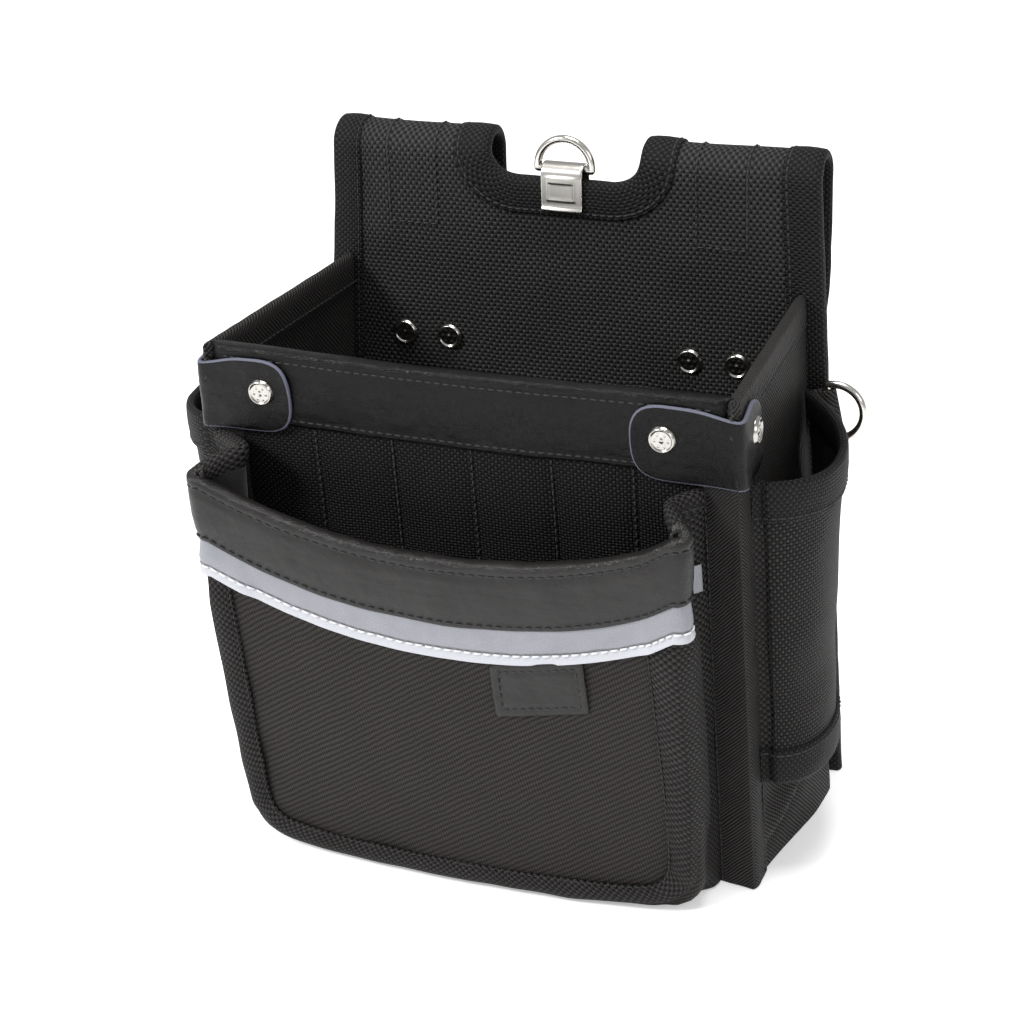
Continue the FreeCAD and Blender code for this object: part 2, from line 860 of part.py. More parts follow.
# ---------------------------------------------------------------- side pockets


def pouch_ends(height):
    """The front and back ends of the side pocket's face, and its crown, at one height."""
    low, high = d.side_pocket_bottom, d.side_pocket_top
    front = between(d.side_pocket_front_low, d.side_pocket_front_high, low, high, height)
    front_x = between(d.side_pocket_front_low_x, d.side_pocket_front_high_x, low, high, height)
    back_x = between(d.side_pocket_back_low_x, d.side_pocket_back_high_x, low, high, height)
    crown = between(d.side_pocket_crown_low, d.side_pocket_crown_high, low, high, height)
    return front, front_x, d.side_pocket_back, back_x, crown


def pouch_section(side, height, inward, outward):
    """The bulging face in plan: two arcs about one middle, grown inwards and outwards."""
    front, front_x, back, back_x, crown = pouch_ends(height)
    half_chord = (back - front) / 2
    sagitta = crown - (front_x + back_x) / 2
    radius = (half_chord * half_chord + sagitta * sagitta) / (sagitta * 2)
    return sideways(side, [
        (front_x - inward, front),
        (front_x + outward, front, radius + outward),
        (back_x + outward, back),
        (back_x - inward, back, -(radius - inward)),
    ])


def side_pockets():
    low, high = d.side_pocket_bottom, d.side_pocket_top
    thick = d.side_pocket_thick
    for name, side in SIDES.items():
        def face(height):
            return pouch_section(side, height, thick, 0)

        def tape(height):
            return pouch_section(side, height, thick + d.tape_thick, d.tape_thick)

        def hem(height):
            return pouch_section(side, height, -FIT_GAP, d.tape_thick)

        def wall(height):
            front, front_x, _, _, _ = pouch_ends(height)
            inner = corner_half(height) + d.tape_thick + 8 * FIT_GAP
            return sideways(side, [
                (inner, front - 5),
                (front_x + thick, front - 2 * FIT_GAP),
                (front_x - 1, front - 2 * FIT_GAP),
                (inner, front - 3),
            ])

        keep(loft(f"pouch_{name}", face, low, high), f"side_pocket_panel_{name}")
        core = loft(f"pouch_core_{name}", face, low, high)
        blank = loft(f"rim_blank_{name}", tape, high - d.rim_tape, high + d.tape_thick)
        keep(boolean("Cut", f"rim_tape_{name}", blank, core), f"side_pocket_rim_binding_{name}")
        keep(loft(f"hem_{name}", hem, low, low + d.rim_tape), f"side_pocket_bottom_binding_{name}")
        keep(loft(f"pouch_wall_{name}", wall, low, high), f"side_pocket_gusset_{name}")
        side_pocket_floor(name, side)


def side_pocket_floor(name, side):
    """A small sheet that closes the side pocket below."""
    front, front_x, back, back_x, crown = pouch_ends(d.side_pocket_bottom)
    inner = corner_half(0) + d.tape_thick + 6 * FIT_GAP
    start = front + 1
    end = back - 1
    front_x = front_x - d.side_pocket_thick
    back_x = back_x
    sagitta = crown - d.side_pocket_thick * 2 - (front_x + back_x) / 2
    half_chord = (end - start) / 2
    radius = (half_chord * half_chord + sagitta * sagitta) / (sagitta * 2)
    corners = sideways(side, [
        (inner, start),
        (front_x, start, radius),
        (back_x, end),
        (inner, end),
    ])
    bottom = d.side_pocket_bottom - d.sheet_thick
    keep(plate(f"pouch_base_{name}", corners, bottom, d.sheet_thick), f"side_pocket_floor_{name}")


# ---------------------------------------------------------------- D-rings


def d_ring(name):
    """A bent wire D about its bar, drawn round the origin: bar along X, bow towards +Z."""
    upright = FreeCAD.Rotation()
    along_x = turned((1, 0, 0))
    bow = doc.addObject("Part::Torus", f"{name}_bow")
    bind(bow, "Radius1", d.ring_half)
    bind(bow, "Radius2", d.wire_radius)
    bow.Angle3 = 180
    place(bow, (0, 0, d.ring_leg), FreeCAD.Rotation(FreeCAD.Vector(1, 0, 0), 90))
    bar = cylinder(f"{name}_bar", d.wire_radius, d.ring_half * 2, (-d.ring_half, 0, 0), along_x)
    parts = [bow, bar]
    for side in SIDES.values():
        reach = (side * d.ring_half, 0, 0)
        parts.append(cylinder(f"{name}_leg_{side + 1}", d.wire_radius, d.ring_leg, reach, upright))
        bend = doc.addObject("Part::Sphere", f"{name}_bend_{side + 1}")
        bind(bend, "Radius", d.wire_radius)
        parts.append(place(bend, reach, upright))
    return fused(f"{name}_wire", parts)


def centre_ring():
    """The ring that stands in the notch, and the folded metal clip that traps its bar."""
    middle = d.back_front_face + BACK_SHEETS / 2
    ring = d_ring("centre_ring")
    keep(place(ring, (0, middle, d.ring_bar_height), FreeCAD.Rotation()), "centre_d_ring")
    outer = d.clip_outer_half
    inner = outer - d.clip_thick
    section = [
        (middle - outer, d.clip_bottom),
        (middle - outer, d.clip_shoulder, -outer),
        (middle, d.clip_shoulder + outer, -outer),
        (middle + outer, d.clip_shoulder),
        (middle + outer, d.clip_bottom),
        (middle + inner, d.clip_bottom),
        (middle + inner, d.clip_shoulder, inner),
        (middle, d.clip_shoulder + inner, inner),
        (middle - inner, d.clip_shoulder),
        (middle - inner, d.clip_bottom),
    ]
    keep(run("clip", section, -d.clip_half, d.clip_half), "ring_clip")


def side_ring():
    """The ring on the right-hand seam: its bar turns in the eye of a folded webbing tab."""
    bar = (d.side_bar_x, d.side_bar_y, d.side_bar_z)
    outward = FreeCAD.Rotation(FreeCAD.Vector(0, 1, 0), 90 - d.side_bar_tilt.value)
    keep(place(d_ring("side_ring"), bar, outward), "side_d_ring")
    along_x = turned((1, 0, 0))
    start = (-d.tab_half, 0, 0)
    eye = cylinder("tab_eye", d.tab_eye_radius, d.tab_half * 2, start, along_x)
    bore = cylinder("tab_bore", d.tab_bore_radius, d.tab_half * 2, start, along_x)
    reach = 10
    half = d.tab_plate_thick / 2
    section = [(-half, -reach), (half, -reach), (half, 0), (-half, 0)]
    web = run("tab_web", section, -d.tab_half, d.tab_half)
    tab = boolean("Cut", "tab", fused("tab_blank", [eye, web]), bore)
    keep(place(tab, bar, outward), "side_ring_tab")


# ---------------------------------------------------------------- checks and files


def check_model():
    failed = [item.Label for item in doc.Objects if {"Invalid", "Error"} & set(item.State)]
    for item in nodes:
        if item.Shape.isNull() or not item.Shape.isValid() or not item.Shape.Solids:
            failed.append(item.Label)
    if failed:
        raise RuntimeError(f"these did not build: {failed}")


def write_files():
    os.makedirs("parts", exist_ok=True)
    for item in nodes:
        item.Shape.exportStep(f"parts/{item.Label}.step")
        box = item.Shape.BoundBox
        print(f"{item.Label:34} {len(item.Shape.Solids)} solid(s) {item.Shape.Volume:10.1f} mm3"
              f"  x {box.XMin:7.1f} {box.XMax:7.1f}  y {box.YMin:7.1f} {box.YMax:7.1f}"
              f"  z {box.ZMin:6.1f} {box.ZMax:6.1f}")


def main():
    fill_sheet()
    behind_back = back_rivets()
    in_straps = strap_rivets()
    back_panels(behind_back)
    back_bindings()
    belt_loops(behind_back)
    side_walls(in_straps)
    front_wall(in_straps)
    tool_slots()
    front_band(in_straps)
    corner_straps(in_straps)
    corner_tapes()
    floor()
    front_pocket_face()
    front_pocket_border()
    label()
    pocket_gussets()
    front_pocket_floor()
    side_pockets()
    centre_ring()
    side_ring()
    doc.recompute()
    check_model()
    write_files()


main()
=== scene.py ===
"""Looks for the electrician's tool pouch: cloth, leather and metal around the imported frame.

Lengths are in millimetres until a mesh is made. X is to the right, -Y to the front, Z up.
A surface is made as points of its outer face, and cloth() gives it a thickness and a rounded rim.
"""

import math

import bpy
import numpy as np
from mathutils import Matrix, Vector, geometry, noise


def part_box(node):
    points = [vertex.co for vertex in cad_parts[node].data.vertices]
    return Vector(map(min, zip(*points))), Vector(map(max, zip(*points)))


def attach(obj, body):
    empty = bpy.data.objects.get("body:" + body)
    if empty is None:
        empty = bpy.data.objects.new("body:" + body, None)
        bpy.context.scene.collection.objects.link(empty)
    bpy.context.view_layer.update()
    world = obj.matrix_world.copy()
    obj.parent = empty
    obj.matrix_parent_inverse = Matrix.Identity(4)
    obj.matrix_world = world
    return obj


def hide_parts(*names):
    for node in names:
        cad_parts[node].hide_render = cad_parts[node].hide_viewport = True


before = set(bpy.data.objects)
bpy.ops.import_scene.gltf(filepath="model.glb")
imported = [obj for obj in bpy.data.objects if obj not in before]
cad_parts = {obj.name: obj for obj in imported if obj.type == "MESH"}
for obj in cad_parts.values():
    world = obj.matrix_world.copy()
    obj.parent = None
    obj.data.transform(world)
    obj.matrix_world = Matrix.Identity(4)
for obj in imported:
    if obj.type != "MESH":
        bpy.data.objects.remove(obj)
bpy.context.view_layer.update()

MM = 0.001
LEFT, RIGHT = -1, 1
SIDES = {"left": LEFT, "right": RIGHT}

# ---------------------------------------------------------------- sizes


def corners(node):
    """A node's lowest and highest corner, in millimetres."""
    low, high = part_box(node)
    return np.array(low) / MM, np.array(high) / MM


SHEET = 1.2
LEATHER = 1.4
TAPE = 1.0
LAP = 15.0

back_low, back_high = corners("back_face_panel")
BACK_Y = back_low[1]
BACK_REAR_Y = corners("back_rear_panel")[1][1]
BACK_HALF = back_high[0]
FOLD_Z = back_high[2]
loop_low, loop_high = corners("belt_loop_right")
NOTCH_HALF, EAR_HALF = loop_low[0], loop_high[0]
FOLD_RADIUS = (loop_high[1] - loop_low[1]) / 2
TAIL_Z = loop_low[2]
NOTCH_FLOOR = 272.0
NOTCH_FLOOR_HALF = 23.0

front_low, front_high = corners("main_front_panel")
MOUTH_Z = front_high[2]
FRONT_FOOT = front_high[1] - SHEET
FRONT_TOP = front_low[1]
CORNER_FOOT, CORNER_TOP = 121.0, 118.0
side_low, side_high = corners("side_panel_right")
SIDE_THICK = 3.0
SIDE_BACK_FOOT, SIDE_BACK_TOP = side_high[0], side_low[0] + SIDE_THICK
SLOT_PITCH = 35.2
SLOT_SEAMS = [-66.5 + SLOT_PITCH * k for k in range(5)]  # the tool slots' rows of stitching
SEAM_TOP = 197.0

pocket_high = corners("front_pocket_panel")[1]
POCKET_HALF = pocket_high[0]
POCKET_FOOT_HALF = 106.0
POCKET_FOOT = -66.0
POCKET_SLOPE = -0.1326
POCKET_END_Z = pocket_high[2]
POCKET_MID_Z = 158.5
POCKET_BAND = 30.0
REFLECTOR = 14.5
REFLECTOR_SEAM = 40.6  # below the rim

band_high = corners("main_front_band")[1]
strap_low, strap_high = corners("corner_strap_right")
pouch_low, pouch_high = corners("side_pocket_panel_right")
SIDE_POCKET_X = 122.0  # the side pockets lie outside it

RIVET_REACHES = {"inner": 57.7, "outer": 79.7}  # the back rivets, from the middle
BACK_RIVET_Z, STRAP_RIVET_Z = 195.2, 213.0
STRAP_RIVET_X, STRAP_RIVET_Y = 88.0, -42.0  # in front, and on the side


def mix(a, b, share):
    return a + (b - a) * share


def smooth(share):
    share = np.clip(share, 0, 1)
    return share * share * (3 - 2 * share)


def groove(distance, width):
    return np.exp(-((distance / width) ** 2))


def front_y(z):
    return mix(FRONT_FOOT, FRONT_TOP, z / MOUTH_Z)


def corner_x(z):
    return mix(CORNER_FOOT, CORNER_TOP, z / MOUTH_Z)


def side_x(y, z):
    """The half-width of the side wall's outer face."""
    back = mix(SIDE_BACK_FOOT, SIDE_BACK_TOP, z / MOUTH_Z)
    share = (y - front_y(z)) / (BACK_Y - front_y(z))
    return mix(corner_x(z), back, share)


# ---------------------------------------------------------------- meshes


def vec(x, y, z):
    return np.stack(np.broadcast_arrays(x, y, z), -1).astype(float)


def unit(v):
    return v / np.maximum(np.linalg.norm(v, axis=-1, keepdims=True), 1e-9)


def lengths(line):
    """The distance along a line of points to each of its points."""
    steps = np.linalg.norm(np.diff(line, axis=0), axis=-1)
    return np.concatenate([[0], np.cumsum(steps)])


def at(line, distances):
    """Points at those distances along a line."""
    run = lengths(line)
    return np.stack([np.interp(distances, run, line[:, k]) for k in range(line.shape[1])], -1)


def grid_faces(rows, columns):
    i, j = np.meshgrid(np.arange(rows - 1), np.arange(columns - 1), indexing="ij")
    a = (i * columns + j).ravel()
    return np.stack([a, a + columns, a + columns + 1, a + 1], 1)


def pairs(along, across):
    """Every pairing of distances along and across, row by row."""
    return np.stack(np.meshgrid(along, across, indexing="ij"), -1).reshape(-1, 2)


def point_normals(points, faces):
    found = points[faces]
    normals = np.cross(found[:, 2] - found[:, 0], found[:, -1] - found[:, 1])
    total = np.zeros_like(points)
    for column in faces.T:
        np.add.at(total, column, normals)
    return unit(total)


RIM = ((0.30, 0.12), (0.42, 0.5), (0.30, 0.88))  # a rounded rim: shares outward and inward


def thicken(points, faces, thick):
    """A back and a rounded rim for a surface: points, faces, rim faces and each point's source."""
    count = len(points)
    normals = point_normals(points, faces)
    starts, ends = faces.ravel(), np.roll(faces, -1, 1).ravel()
    bare = ~np.isin(starts * count + ends, ends * count + starts)
    a, b = starts[bare], ends[bare]
    push = unit(np.cross(points[b] - points[a], normals[a] + normals[b]))
    out = np.zeros_like(points)
    np.add.at(out, a, push)
    np.add.at(out, b, push)
    ring = np.unique(np.concatenate([a, b]))
    place = np.zeros(count, int)
    place[ring] = np.arange(len(ring))
    out, inward = unit(out[ring]), normals[ring]
    layers = [points, points - normals * thick]
    source = [np.arange(count), np.arange(count)]
    chain = [(a, b)]
    for step, (reach, depth) in enumerate(RIM):
        layers.append(points[ring] + out * reach * thick - inward * depth * thick)
        source.append(ring)
        first = 2 * count + step * len(ring)
        chain.append((first + place[a], first + place[b]))
    chain.append((a + count, b + count))
    rim = [np.stack([b0, a0, a1, b1], 1) for (a0, b0), (a1, b1) in zip(chain, chain[1:])]
    whole = [faces, faces[:, ::-1] + count]
    return np.concatenate(layers), whole, np.concatenate(rim), np.concatenate(source)


def uneven(points, normals, size, depth):
    """Moves points along their normals by smooth noise, as cloth is never quite flat."""
    amount = np.array([noise.noise(Vector(p)) for p in points / size])
    return points + normals * (amount * depth)[:, None]


def settle(points):
    """Moves points of any piece to where the worn pouch has them.

    The pouch isn't quite symmetric. Its left edge stands nearer the middle and its left pocket is
    slimmer. The front pocket's right rim is drawn in and its lower corners are rounded. The side
    walls sag outward near the foot.
    """
    x, y, z = points.T
    slim = np.where(x < -SIDE_POCKET_X, mix(0.5, 1.0, smooth((z - 90) / 90)), 1.0)
    x = -SIDE_POCKET_X + (x + SIDE_POCKET_X) * slim
    edge = np.abs(x)
    front = smooth((front_y(z) - y - 6) / 14)
    left_band = smooth((-x - 90) / 22) * (1 - smooth((-x - SIDE_POCKET_X) / 7))
    inward = (3.2 + 1.6 * smooth((z - 200) / 60)) * left_band * (1 - front)
    drawn = 5.0 * front * smooth((x - 85) / 22) * smooth((z - 40) / 120)
    corner = smooth((edge - 80) / 24) * front
    rounded = 13.0 * (1 - np.sqrt(1 - np.clip(1 - z / 18, 0, 1) ** 2)) * corner
    rear = smooth((y - FRONT_FOOT - 12) / 60) * (1 - smooth((y - BACK_Y + 19) / 18))
    slack = 7.5 * rear * smooth(1 - z / 60) * smooth((edge - 85) / 25)
    x = x + inward - drawn + (slack - rounded) * np.sign(x)
    return np.column_stack([x, y, z])


def piece(name, points, faces, materials, coords=None, tags=None):
    """A mesh object from points in millimetres, which rides on the pouch."""
    mesh = bpy.data.meshes.new(name)
    points = settle(points)
    mesh.from_pydata((points * MM).tolist(), [], faces)
    mesh.polygons.foreach_set("use_smooth", [True] * len(mesh.polygons))
    if coords is not None:
        attribute = mesh.attributes.new("weave", "FLOAT_VECTOR", "POINT")
        flat = np.column_stack([coords, np.zeros(len(coords))])
        attribute.data.foreach_set("vector", flat.astype(np.float32).ravel())
    for material in materials:
        mesh.materials.append(material)
    if tags is not None:
        mesh.polygons.foreach_set("material_index", tags)
    mesh.update()
    made = bpy.data.objects.new(name, mesh)
    bpy.context.scene.collection.objects.link(made)
    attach(made, "pouch")
    return made


def cloth(name, points, faces, coords, thick, material, slot, nodes=(), side=RIGHT, edge=None,
          ripple=None):
    """A sheet of cloth or leather. Points are its outer face, coords run along its weave."""
    if ripple:
        points = uneven(points, point_normals(points, faces), *ripple)
    if side == LEFT:
        points = points * [-1, 1, 1]
        faces = faces[:, ::-1]
    solid, whole, rim, source = thicken(points, faces, thick)
    flat = sum((part.tolist() for part in whole), []) + rim.tolist()
    tags = [0] * (len(flat) - len(rim)) + [1 if edge else 0] * len(rim)
    materials = [material] + ([edge] if edge else [])
    made = piece(name, solid, flat, materials, coords[source], tags)
    if nodes:
        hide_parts(*nodes)
    return made


def grid_cloth(name, grid, facing, thick, material, slot, coords=None, **more):
    """A sheet from a grid of points. Facing is roughly the outward direction at its middle."""
    rows, columns = grid.shape[:2]
    points = grid.reshape(-1, 3)
    faces = grid_faces(rows, columns)
    middle = (rows // 2) * columns + columns // 2
    if point_normals(points, faces)[middle] @ np.array(facing, float) < 0:
        faces = faces[:, ::-1]
    if coords is None:
        across = lengths(grid[rows // 2])
        along = lengths(grid[:, columns // 2])
        coords = pairs(along, across)
    return cloth(name, points, faces, coords, thick, material, slot, **more)


def in_plane(grid, axes):
    """Two of a grid's coordinates as its distances along the weave."""
    return grid[..., axes].reshape(-1, 2)


def rectangle(low, high):
    return [(low[0], low[1]), (high[0], low[1]), (high[0], high[1]), (low[0], high[1])]


def filleted(outline, radius, steps=6):
    """A closed outline with its corners rounded; radius is one number or one for each corner."""
    outline = np.array(outline, float)
    radii = np.broadcast_to(radius, len(outline))
    made = []
    for index, corner in enumerate(outline):
        before = unit(outline[index - 1] - corner)
        after = unit(outline[(index + 1) % len(outline)] - corner)
        start, end = corner + before * radii[index], corner + after * radii[index]
        for t in np.linspace(0, 1, steps):
            made.append((1 - t) ** 2 * start + 2 * t * (1 - t) * corner + t * t * end)
    return np.array(made)


def resampled(loop, spacing):
    made = []
    for start, end in zip(loop, np.roll(loop, -1, 0)):
        count = max(1, round(np.linalg.norm(end - start) / spacing))
        made += [mix(start, end, k / count) for k in range(count)]
    return np.array(made)


def region(outline, spacing):
    """Triangles over a closed outline, with inner points every spacing."""
    loop = resampled(np.array(outline, float), spacing)
    low, high = loop.min(0), loop.max(0)
    u, v = np.meshgrid(np.arange(low[0], high[0], spacing),
                       np.arange(low[1], high[1], spacing * 0.87))
    u[1::2] += spacing / 2
    inner = np.column_stack([u.ravel(), v.ravel()])
    following = np.roll(loop, -1, 0)
    inside = np.zeros(len(inner), bool)
    near = np.full(len(inner), np.inf)
    for start, end in zip(loop, following):
        if start[1] != end[1]:
            above = (start[1] > inner[:, 1]) != (end[1] > inner[:, 1])
            share = (inner[:, 1] - start[1]) / (end[1] - start[1])
            crossing = start[0] + share * (end[0] - start[0])
            inside ^= above & (inner[:, 0] < crossing)
        near = np.minimum(near, np.hypot(*(inner - start).T))
    inner = inner[inside & (near > spacing * 0.6)]
    every = [Vector(p) for p in np.concatenate([loop, inner])]
    rim = [(k, (k + 1) % len(loop)) for k in range(len(loop))]
    found = geometry.delaunay_2d_cdt(every, rim, [], 1, 1e-5)
    return np.array([tuple(p) for p in found[0]]), np.array([tuple(f) for f in found[2]])


# ---------------------------------------------------------------- stitches

STITCH_STATIONS = np.array([-0.5, -0.38, -0.15, 0.15, 0.38, 0.5])
STITCH_GIRTH = np.array([0.45, 0.9, 1.0, 1.0, 0.9, 0.45])
STITCH_LIFT = np.array([-0.75, -0.05, 0.2, 0.2, -0.05, -0.75])
sewn = {}


def stitch(group, line, normals, pitch=3.6, length=2.8, width=0.85, ripple=None, side=RIGHT):
    """A row of stitches along a line of points, mirrored as its cloth is.

    The ends dip into the cloth, which may be uneven.
    """
    normals = np.broadcast_to(normals, line.shape)
    if ripple:
        line = uneven(line, unit(normals), *ripple)
    flip = np.array([side, 1, 1])
    line, normals = line * flip, normals * flip
    run = lengths(line)
    count = max(1, int(run[-1] / pitch))
    places = (np.arange(count) + 0.5) * run[-1] / count
    centre = at(line, places)
    along = unit(at(line, places + 0.4) - at(line, places - 0.4))
    up = unit(np.stack([np.interp(places, run, normals[:, k]) for k in range(3)], -1))
    beside = unit(np.cross(up, along))
    sewn.setdefault(group, []).append((centre, along, beside, up, length, width / 2))


def make_stitches(thread, pale_thread):
    angles = np.linspace(0, 2 * math.pi, 7)[:-1]
    for group, rows in sewn.items():
        points = []
        for centre, along, beside, up, length, radius in rows:
            girth = STITCH_GIRTH[:, None] * radius
            x = np.broadcast_to(STITCH_STATIONS[:, None] * length, (6, 6))
            y = girth * np.cos(angles)
            z = girth * np.sin(angles) + STITCH_LIFT[:, None] * radius
            local = [part.ravel()[None, :, None] for part in (x, y, z)]
            frames = [part[:, None, :] for part in (along, beside, up)]
            offset = sum(part * frame_axis for part, frame_axis in zip(local, frames))
            points.append((centre[:, None, :] + offset).reshape(-1, 3))
        points = np.concatenate(points)
        ring = [
            [a * 6 + b, a * 6 + (b + 1) % 6, a * 6 + 6 + (b + 1) % 6, a * 6 + 6 + b]
            for a in range(5) for b in range(6)
        ]
        ends = [[5, 4, 3, 2, 1, 0], [30, 31, 32, 33, 34, 35]]
        faces = [
            [36 * stitch_index + k for k in face]
            for stitch_index in range(len(points) // 36) for face in ring + ends
        ]
        chosen = pale_thread if group == "reflector" else thread
        piece(f"stitches_{group}", points, faces, [chosen])


# ---------------------------------------------------------------- materials


class Finish:
    """A node material, built from the sockets of its own small helpers."""

    def __init__(self, name, **settings):
        self.material = bpy.data.materials.new(name)
        self.material.use_nodes = True
        self.tree = self.material.node_tree
        self.shader = self.tree.nodes["Principled BSDF"]
        for key, value in settings.items():
            socket = key.replace("_", " ").title().replace("Ior", "IOR")
            self.shader.inputs[socket].default_value = value

    def node(self, kind, settings=None, **inputs):
        made = self.tree.nodes.new(f"ShaderNode{kind}")
        for key, value in (settings or {}).items():
            setattr(made, key, value)
        for key, value in inputs.items():
            self.put(made.inputs[key.replace("_", " ")], value)
        return made

    def put(self, socket, value):
        if isinstance(value, bpy.types.NodeSocket):
            self.tree.links.new(value, socket)
        else:
            socket.default_value = value

    def math(self, operation, *values):
        made = self.node("Math", {"operation": operation})
        for socket, value in zip(made.inputs, values):
            self.put(socket, value)
        return made.outputs[0]

    def weave_axes(self):
        """Millimetres along and across the cloth, wavering as woven yarn does."""
        place = self.node("Attribute", {"attribute_name": "weave"}).outputs["Vector"]
        waver = self.node("TexNoise", Vector=place, Scale=0.09, Detail=2.0).outputs["Color"]
        offset = self.node("VectorMath", {"operation": "MULTIPLY_ADD"})
        self.put(offset.inputs[0], waver)
        self.put(offset.inputs[1], (1.6, 1.6, 0.0))
        self.put(offset.inputs[2], place)
        parts = self.node("SeparateXYZ", Vector=offset.outputs[0])
        return parts.outputs[0], parts.outputs[1], place

    def object_place(self):
        """The place in the object, in millimetres."""
        place = self.node("TexCoord").outputs["Object"]
        scaled = self.node("VectorMath", {"operation": "SCALE"}, Vector=place, Scale=1 / MM)
        return scaled.outputs[0]

    def noise(self, place, scale, detail=3.0, rough=0.55):
        made = self.node("TexNoise", Vector=place, Scale=scale, Detail=detail, Roughness=rough)
        return made.outputs[0]

    def spread(self, value, low, high):
        """A 0 to 1 value spread from low to high."""
        return self.math("MULTIPLY_ADD", value, high - low, low)

    def blend(self, share, first, second):
        made = self.node("Mix", {"data_type": "RGBA"})
        self.put(made.inputs["Factor"], share)
        self.put(made.inputs["A"], first)
        self.put(made.inputs["B"], second)
        return next(out for out in made.outputs if out.type == "RGBA")

    def colour(self, socket):
        self.put(self.shader.inputs["Base Color"], socket)

    def roughness(self, socket):
        self.put(self.shader.inputs["Roughness"], socket)

    def bump(self, height, distance, strength=1.0):
        made = self.node("Bump", Height=height, Distance=distance * MM, Strength=strength)
        self.put(self.shader.inputs["Normal"], made.outputs[0])

    def wave(self, value, pitch):
        """A sine over a distance, one half wave to a pitch."""
        return self.math("SINE", self.math("MULTIPLY", value, math.pi / pitch))


def rgb(red, green, blue):
    return (red, green, blue, 1.0)


BLACK = rgb(0.0005, 0.0005, 0.0005)


CLOTH_SHINE = 0.12


def woven(name, pitch, across, light, under, depth, base=0.0):
    """Plain weave: the yarns that pass over get a painted highlight, those under them and the pits
    between get painted shade, with fine threads in each.
    """
    made = Finish(name, specular_ior_level=CLOTH_SHINE)
    u, v, place = made.weave_axes()
    product = made.math("MULTIPLY", made.wave(u, pitch), made.wave(v, across))
    over = made.math("GREATER_THAN", product, 0.0)
    cell = made.math("POWER", made.math("ABSOLUTE", product), 0.6)
    raised = made.math("MULTIPLY", cell, made.spread(over, 0.6, 1.0))
    warp, weft = made.wave(u, pitch / 4), made.wave(v, across / 4)
    thread = made.math("ADD", made.math("MULTIPLY", warp, over),
                       made.math("MULTIPLY", weft, made.math("SUBTRACT", 1.0, over)))
    height = made.math("MULTIPLY_ADD", made.math("MULTIPLY", thread, cell), 0.15, raised)
    # painted light in the colour: a highlight on the raised yarns that pass over, shade on those
    # under and in the pits
    shade = made.math("MULTIPLY_ADD", cell, made.spread(over, under - base, 1.0 - base), base)
    shade = made.math("MULTIPLY", shade, made.spread(thread, 0.85, 1.1))
    shade = made.math("MULTIPLY", shade, made.spread(made.noise(place, 0.04), 0.7, 1.3))
    made.colour(made.blend(shade, BLACK, light))
    made.roughness(made.spread(cell, 0.8, 0.42))
    made.bump(height, depth)
    return made.material


def ribbed(name, pitch, spine, light, depth, dark=BLACK, slope=1.0, cross=-1.0, fine=2.6, cut=0.8):
    """Twill or herringbone: diagonal ribs that turn back every spine millimetres across."""
    made = Finish(name, specular_ior_level=CLOTH_SHINE)
    u, v, place = made.weave_axes()
    folded = made.math("PINGPONG", v, spine) if spine else v
    diagonal = made.math("MULTIPLY_ADD", u, slope, folded)
    rib = made.math("POWER", made.math("ABSOLUTE", made.wave(diagonal, pitch)), 0.9)
    thread = made.wave(made.math("MULTIPLY_ADD", folded, cross, u), pitch / fine)
    height = made.math("MULTIPLY_ADD", made.math("MULTIPLY", thread, rib), 0.25, rib)
    # painted light in the colour: a highlight on each rib's crown and its threads, shade between
    # the ribs
    shade = made.math("MULTIPLY", rib, made.spread(thread, cut, 1.1))
    shade = made.math("MULTIPLY", shade, made.spread(made.noise(place, 0.05), 0.7, 1.3))
    made.colour(made.blend(shade, dark, light))
    made.roughness(made.spread(rib, 0.85, 0.45))
    made.bump(height, depth)
    return made.material


def leather(name, dark, light, shine):
    """Smooth leather: fine grain, soft creases and a worn sheen."""
    made = Finish(name, specular_ior_level=shine)
    place = made.object_place()
    cells = made.node("TexVoronoi", {"feature": "DISTANCE_TO_EDGE"}, Vector=place, Scale=1.1)
    grain = made.math("MINIMUM", cells.outputs[0], 0.25)
    worn = made.noise(place, 0.035, 4.0)
    fine = made.noise(place, 2.2, 2.0)
    made.colour(made.blend(made.math("MULTIPLY", worn, made.spread(fine, 0.8, 1.2)), dark, light))
    made.roughness(made.spread(worn, 0.24, 0.38))
    height = made.math("MULTIPLY_ADD", fine, 0.25, made.math("MULTIPLY", grain, 1.6))
    drawn = made.node("Mapping", Vector=place, Scale=(0.05, 0.3, 0.42))
    height = made.math("MULTIPLY_ADD", made.noise(drawn.outputs[0], 1.0, 3.0, 0.4), 0.9, height)
    made.bump(made.math("MULTIPLY_ADD", made.noise(place, 0.07, 2.0), 7.0, height), 0.2)
    return made.material


def metal(name, rough_low, rough_high, brushed=False, tint=1.0):
    made = Finish(name, metallic=1.0)
    place = made.object_place()
    if brushed:
        stretch = made.node("Mapping", Vector=place, Scale=(6.0, 0.25, 0.12))
        lines = made.noise(stretch.outputs[0], 1.0, 4.0)
    else:
        lines = made.noise(place, 0.5, 3.0)
    dull, bright = (np.array(c) * tint for c in ((0.50, 0.485, 0.455), (0.68, 0.66, 0.62)))
    made.colour(made.blend(lines, rgb(*dull), rgb(*bright)))
    made.roughness(made.spread(lines, rough_low, rough_high))
    made.bump(lines, 0.02, 0.35)
    return made.material


def plain(name, dark, light, scale, rough=(0.6, 0.85), bump=0.1, **settings):
    """An even finish with fine mottling: thread, raw edges, suede, board."""
    made = Finish(name, **settings)
    place = made.object_place()
    mottle = made.noise(place, scale, 4.0, 0.7)
    made.colour(made.blend(mottle, dark, light))
    made.roughness(made.spread(mottle, *rough))
    made.bump(mottle, bump)
    return made.material


